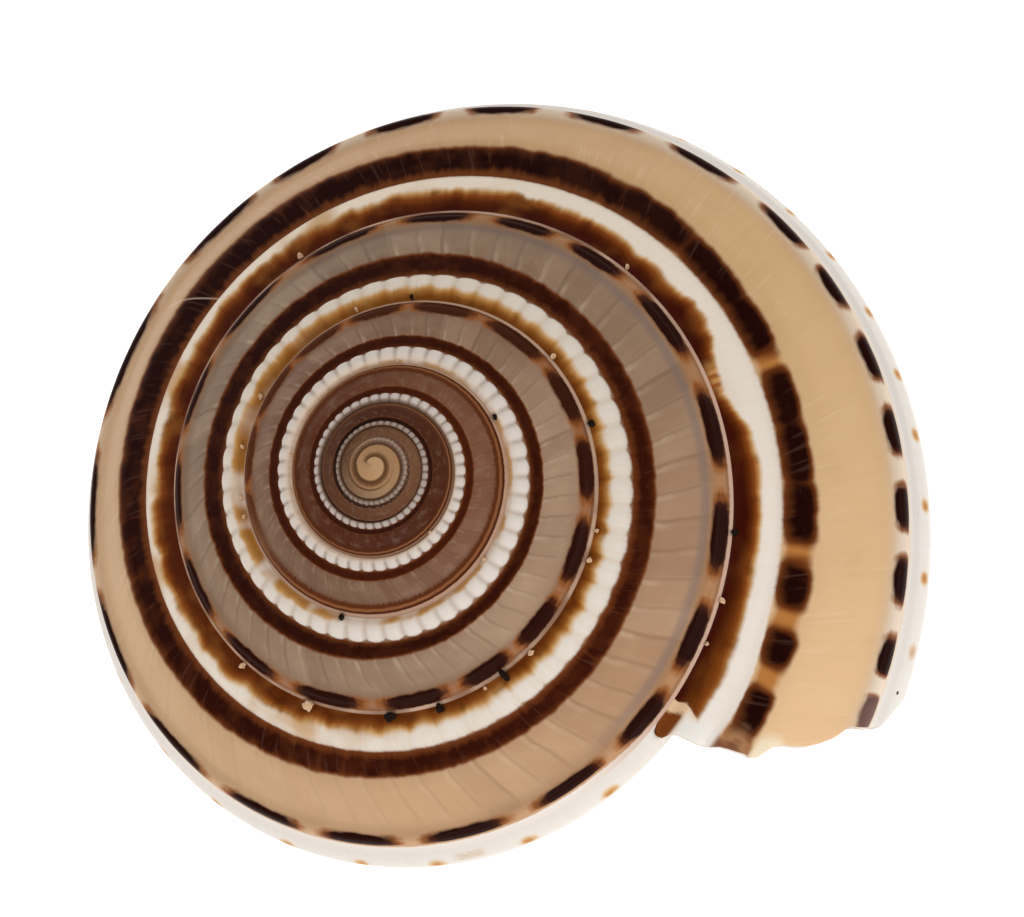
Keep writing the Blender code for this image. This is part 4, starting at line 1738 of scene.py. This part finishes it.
class SUNDIAL_OT_shell(bpy.types.Operator):
    """Grow the shell with its colours"""

    bl_idname = "sundial.shell"
    bl_label = "Grow the shell"

    def execute(self, context):
        scene = context.scene
        paints = scene.sundial_colours
        materials = {
            "upper": finish_with("shell_upper", upper_colours, paints, 0.35, 0.01),
            "base": finish_with("shell_base", base_colours, paints, 0.4, 0.02),
            "inside": finish_with("shell_inside", inside_colours, paints, 0.2, 0.15),
        }
        sizes = values_of(scene.sundial_sizes)
        tree, sockets = shell_tree(sizes, materials)
        shell = realised("sundial_shell", tree, sockets, sizes, scene.collection)
        scene.sundial_studio.move = lay_down(shell.data)
        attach(shell, "root")
        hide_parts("shell")
        return {"FINISHED"}


class SUNDIAL_OT_sand(bpy.types.Operator):
    """Put the grains of sand in the suture"""

    bl_idname = "sundial.sand"
    bl_label = "Add the sand"

    def execute(self, context):
        scene = context.scene
        material = finish_with("sand", sand_colours, scene.sundial_colours, 0.5, 0.0)
        sizes = values_of(scene.sundial_sizes)
        grain_size = scene.sundial_studio.grain_size
        tree, sockets = sand_tree(sizes, grain_size, material)
        sizes["Grain size"] = grain_size
        sand = realised("sand_grains", tree, sockets, sizes, scene.collection)
        sand.data.transform(resting_turn())
        sand.data.transform(Matrix.Translation(scene.sundial_studio.move))
        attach(sand, "root")
        return {"FINISHED"}


class SUNDIAL_OT_studio(bpy.types.Operator):
    """Set up the floor, the soft lamps and the camera"""

    bl_idname = "sundial.studio"
    bl_label = "Set up the studio"

    def execute(self, context):
        scene = context.scene
        settings = scene.sundial_studio
        camera = orient_camera(Vector(settings.move))
        scene.collection.objects.link(camera)
        scene.camera = camera
        scene.view_settings.view_transform = "Standard"
        world = bpy.data.worlds.new("studio")
        scene.world = world
        world.use_nodes = True
        world.node_tree.nodes["Background"].inputs["Color"].default_value = (1.0, 1.0, 1.0, 1.0)
        world.node_tree.nodes["Background"].inputs["Strength"].default_value = settings.sky
        lay_floor(settings, scene.collection)
        for name, side, rise, share in LAMPS:
            soft_lamp(name, side, rise, share * settings.lamp_power, scene.collection)
        return {"FINISHED"}


class SUNDIAL_PT_panel(bpy.types.Panel):
    """Buttons and settings of the sundial shell"""

    bl_idname = "SUNDIAL_PT_panel"
    bl_label = "Sundial shell"
    bl_space_type = "VIEW_3D"
    bl_region_type = "UI"
    bl_category = "Sundial shell"

    def draw(self, context):
        scene = context.scene
        for operator in OPERATORS:
            self.layout.operator(operator.bl_idname)
        for settings in (scene.sundial_sizes, scene.sundial_colours, scene.sundial_studio):
            box = self.layout.box()
            for item in settings.bl_rna.properties:
                if item.is_runtime:
                    box.prop(settings, item.identifier)


def soft_lamp(name, side, rise, power, collection):
    """A large soft lamp that shines at the shell."""
    angle = radians(side) + PHOTO_TURN
    height = radians(rise)
    away = Vector((cos(angle) * cos(height), sin(angle) * cos(height), sin(height)))
    lamp = bpy.data.objects.new(name, bpy.data.lights.new(name, "AREA"))
    lamp.data.energy = power
    lamp.data.size = LAMP_SIZE
    lamp.location = away * LAMP_DISTANCE
    lamp.rotation_euler = away.to_track_quat("Z", "Y").to_euler()
    collection.objects.link(lamp)


def lay_floor(settings, collection):
    """The plain pale floor, which is no part of the shell."""
    half = FLOOR_SIZE / 2
    mesh = bpy.data.meshes.new("floor")
    corners = [(-half, -half, 0.0), (half, -half, 0.0), (half, half, 0.0), (-half, half, 0.0)]
    mesh.from_pydata(corners, [], [(0, 1, 2, 3)])
    floor = bpy.data.objects.new("floor", mesh)
    collection.objects.link(floor)
    material = bpy.data.materials.new("floor")
    material.use_nodes = True
    shader = material.node_tree.nodes["Principled BSDF"]
    shader.inputs["Base Color"].default_value = tuple(settings.floor) + (1.0,)
    shader.inputs["Roughness"].default_value = 0.9
    shader.inputs["Specular IOR Level"].default_value = 0.1
    shader.inputs["Emission Color"].default_value = (1.0, 1.0, 1.0, 1.0)
    shader.inputs["Emission Strength"].default_value = settings.floor_glow
    mesh.materials.append(material)


SETTINGS = {
    "sundial_sizes": SUNDIAL_PG_sizes,
    "sundial_colours": SUNDIAL_PG_colours,
    "sundial_studio": SUNDIAL_PG_studio,
}
OPERATORS = (SUNDIAL_OT_shell, SUNDIAL_OT_sand, SUNDIAL_OT_studio)


def register():
    """Makes the settings, the operators and the panel known to Blender."""
    for group in SETTINGS.values():
        bpy.utils.register_class(group)
    for kind in OPERATORS + (SUNDIAL_PT_panel,):
        bpy.utils.register_class(kind)
    for name, group in SETTINGS.items():
        setattr(bpy.types.Scene, name, bpy.props.PointerProperty(type=group))


def unregister():
    """Takes back what register did."""
    for name in SETTINGS:
        delattr(bpy.types.Scene, name)
    for kind in (SUNDIAL_PT_panel,) + OPERATORS:
        bpy.utils.unregister_class(kind)
    for group in SETTINGS.values():
        bpy.utils.unregister_class(group)


def main():
    """Makes the shell, the sand and the studio."""
    register()
    bpy.ops.sundial.shell()
    bpy.ops.sundial.sand()
    bpy.ops.sundial.studio()


if __name__ == "__main__":
    main()
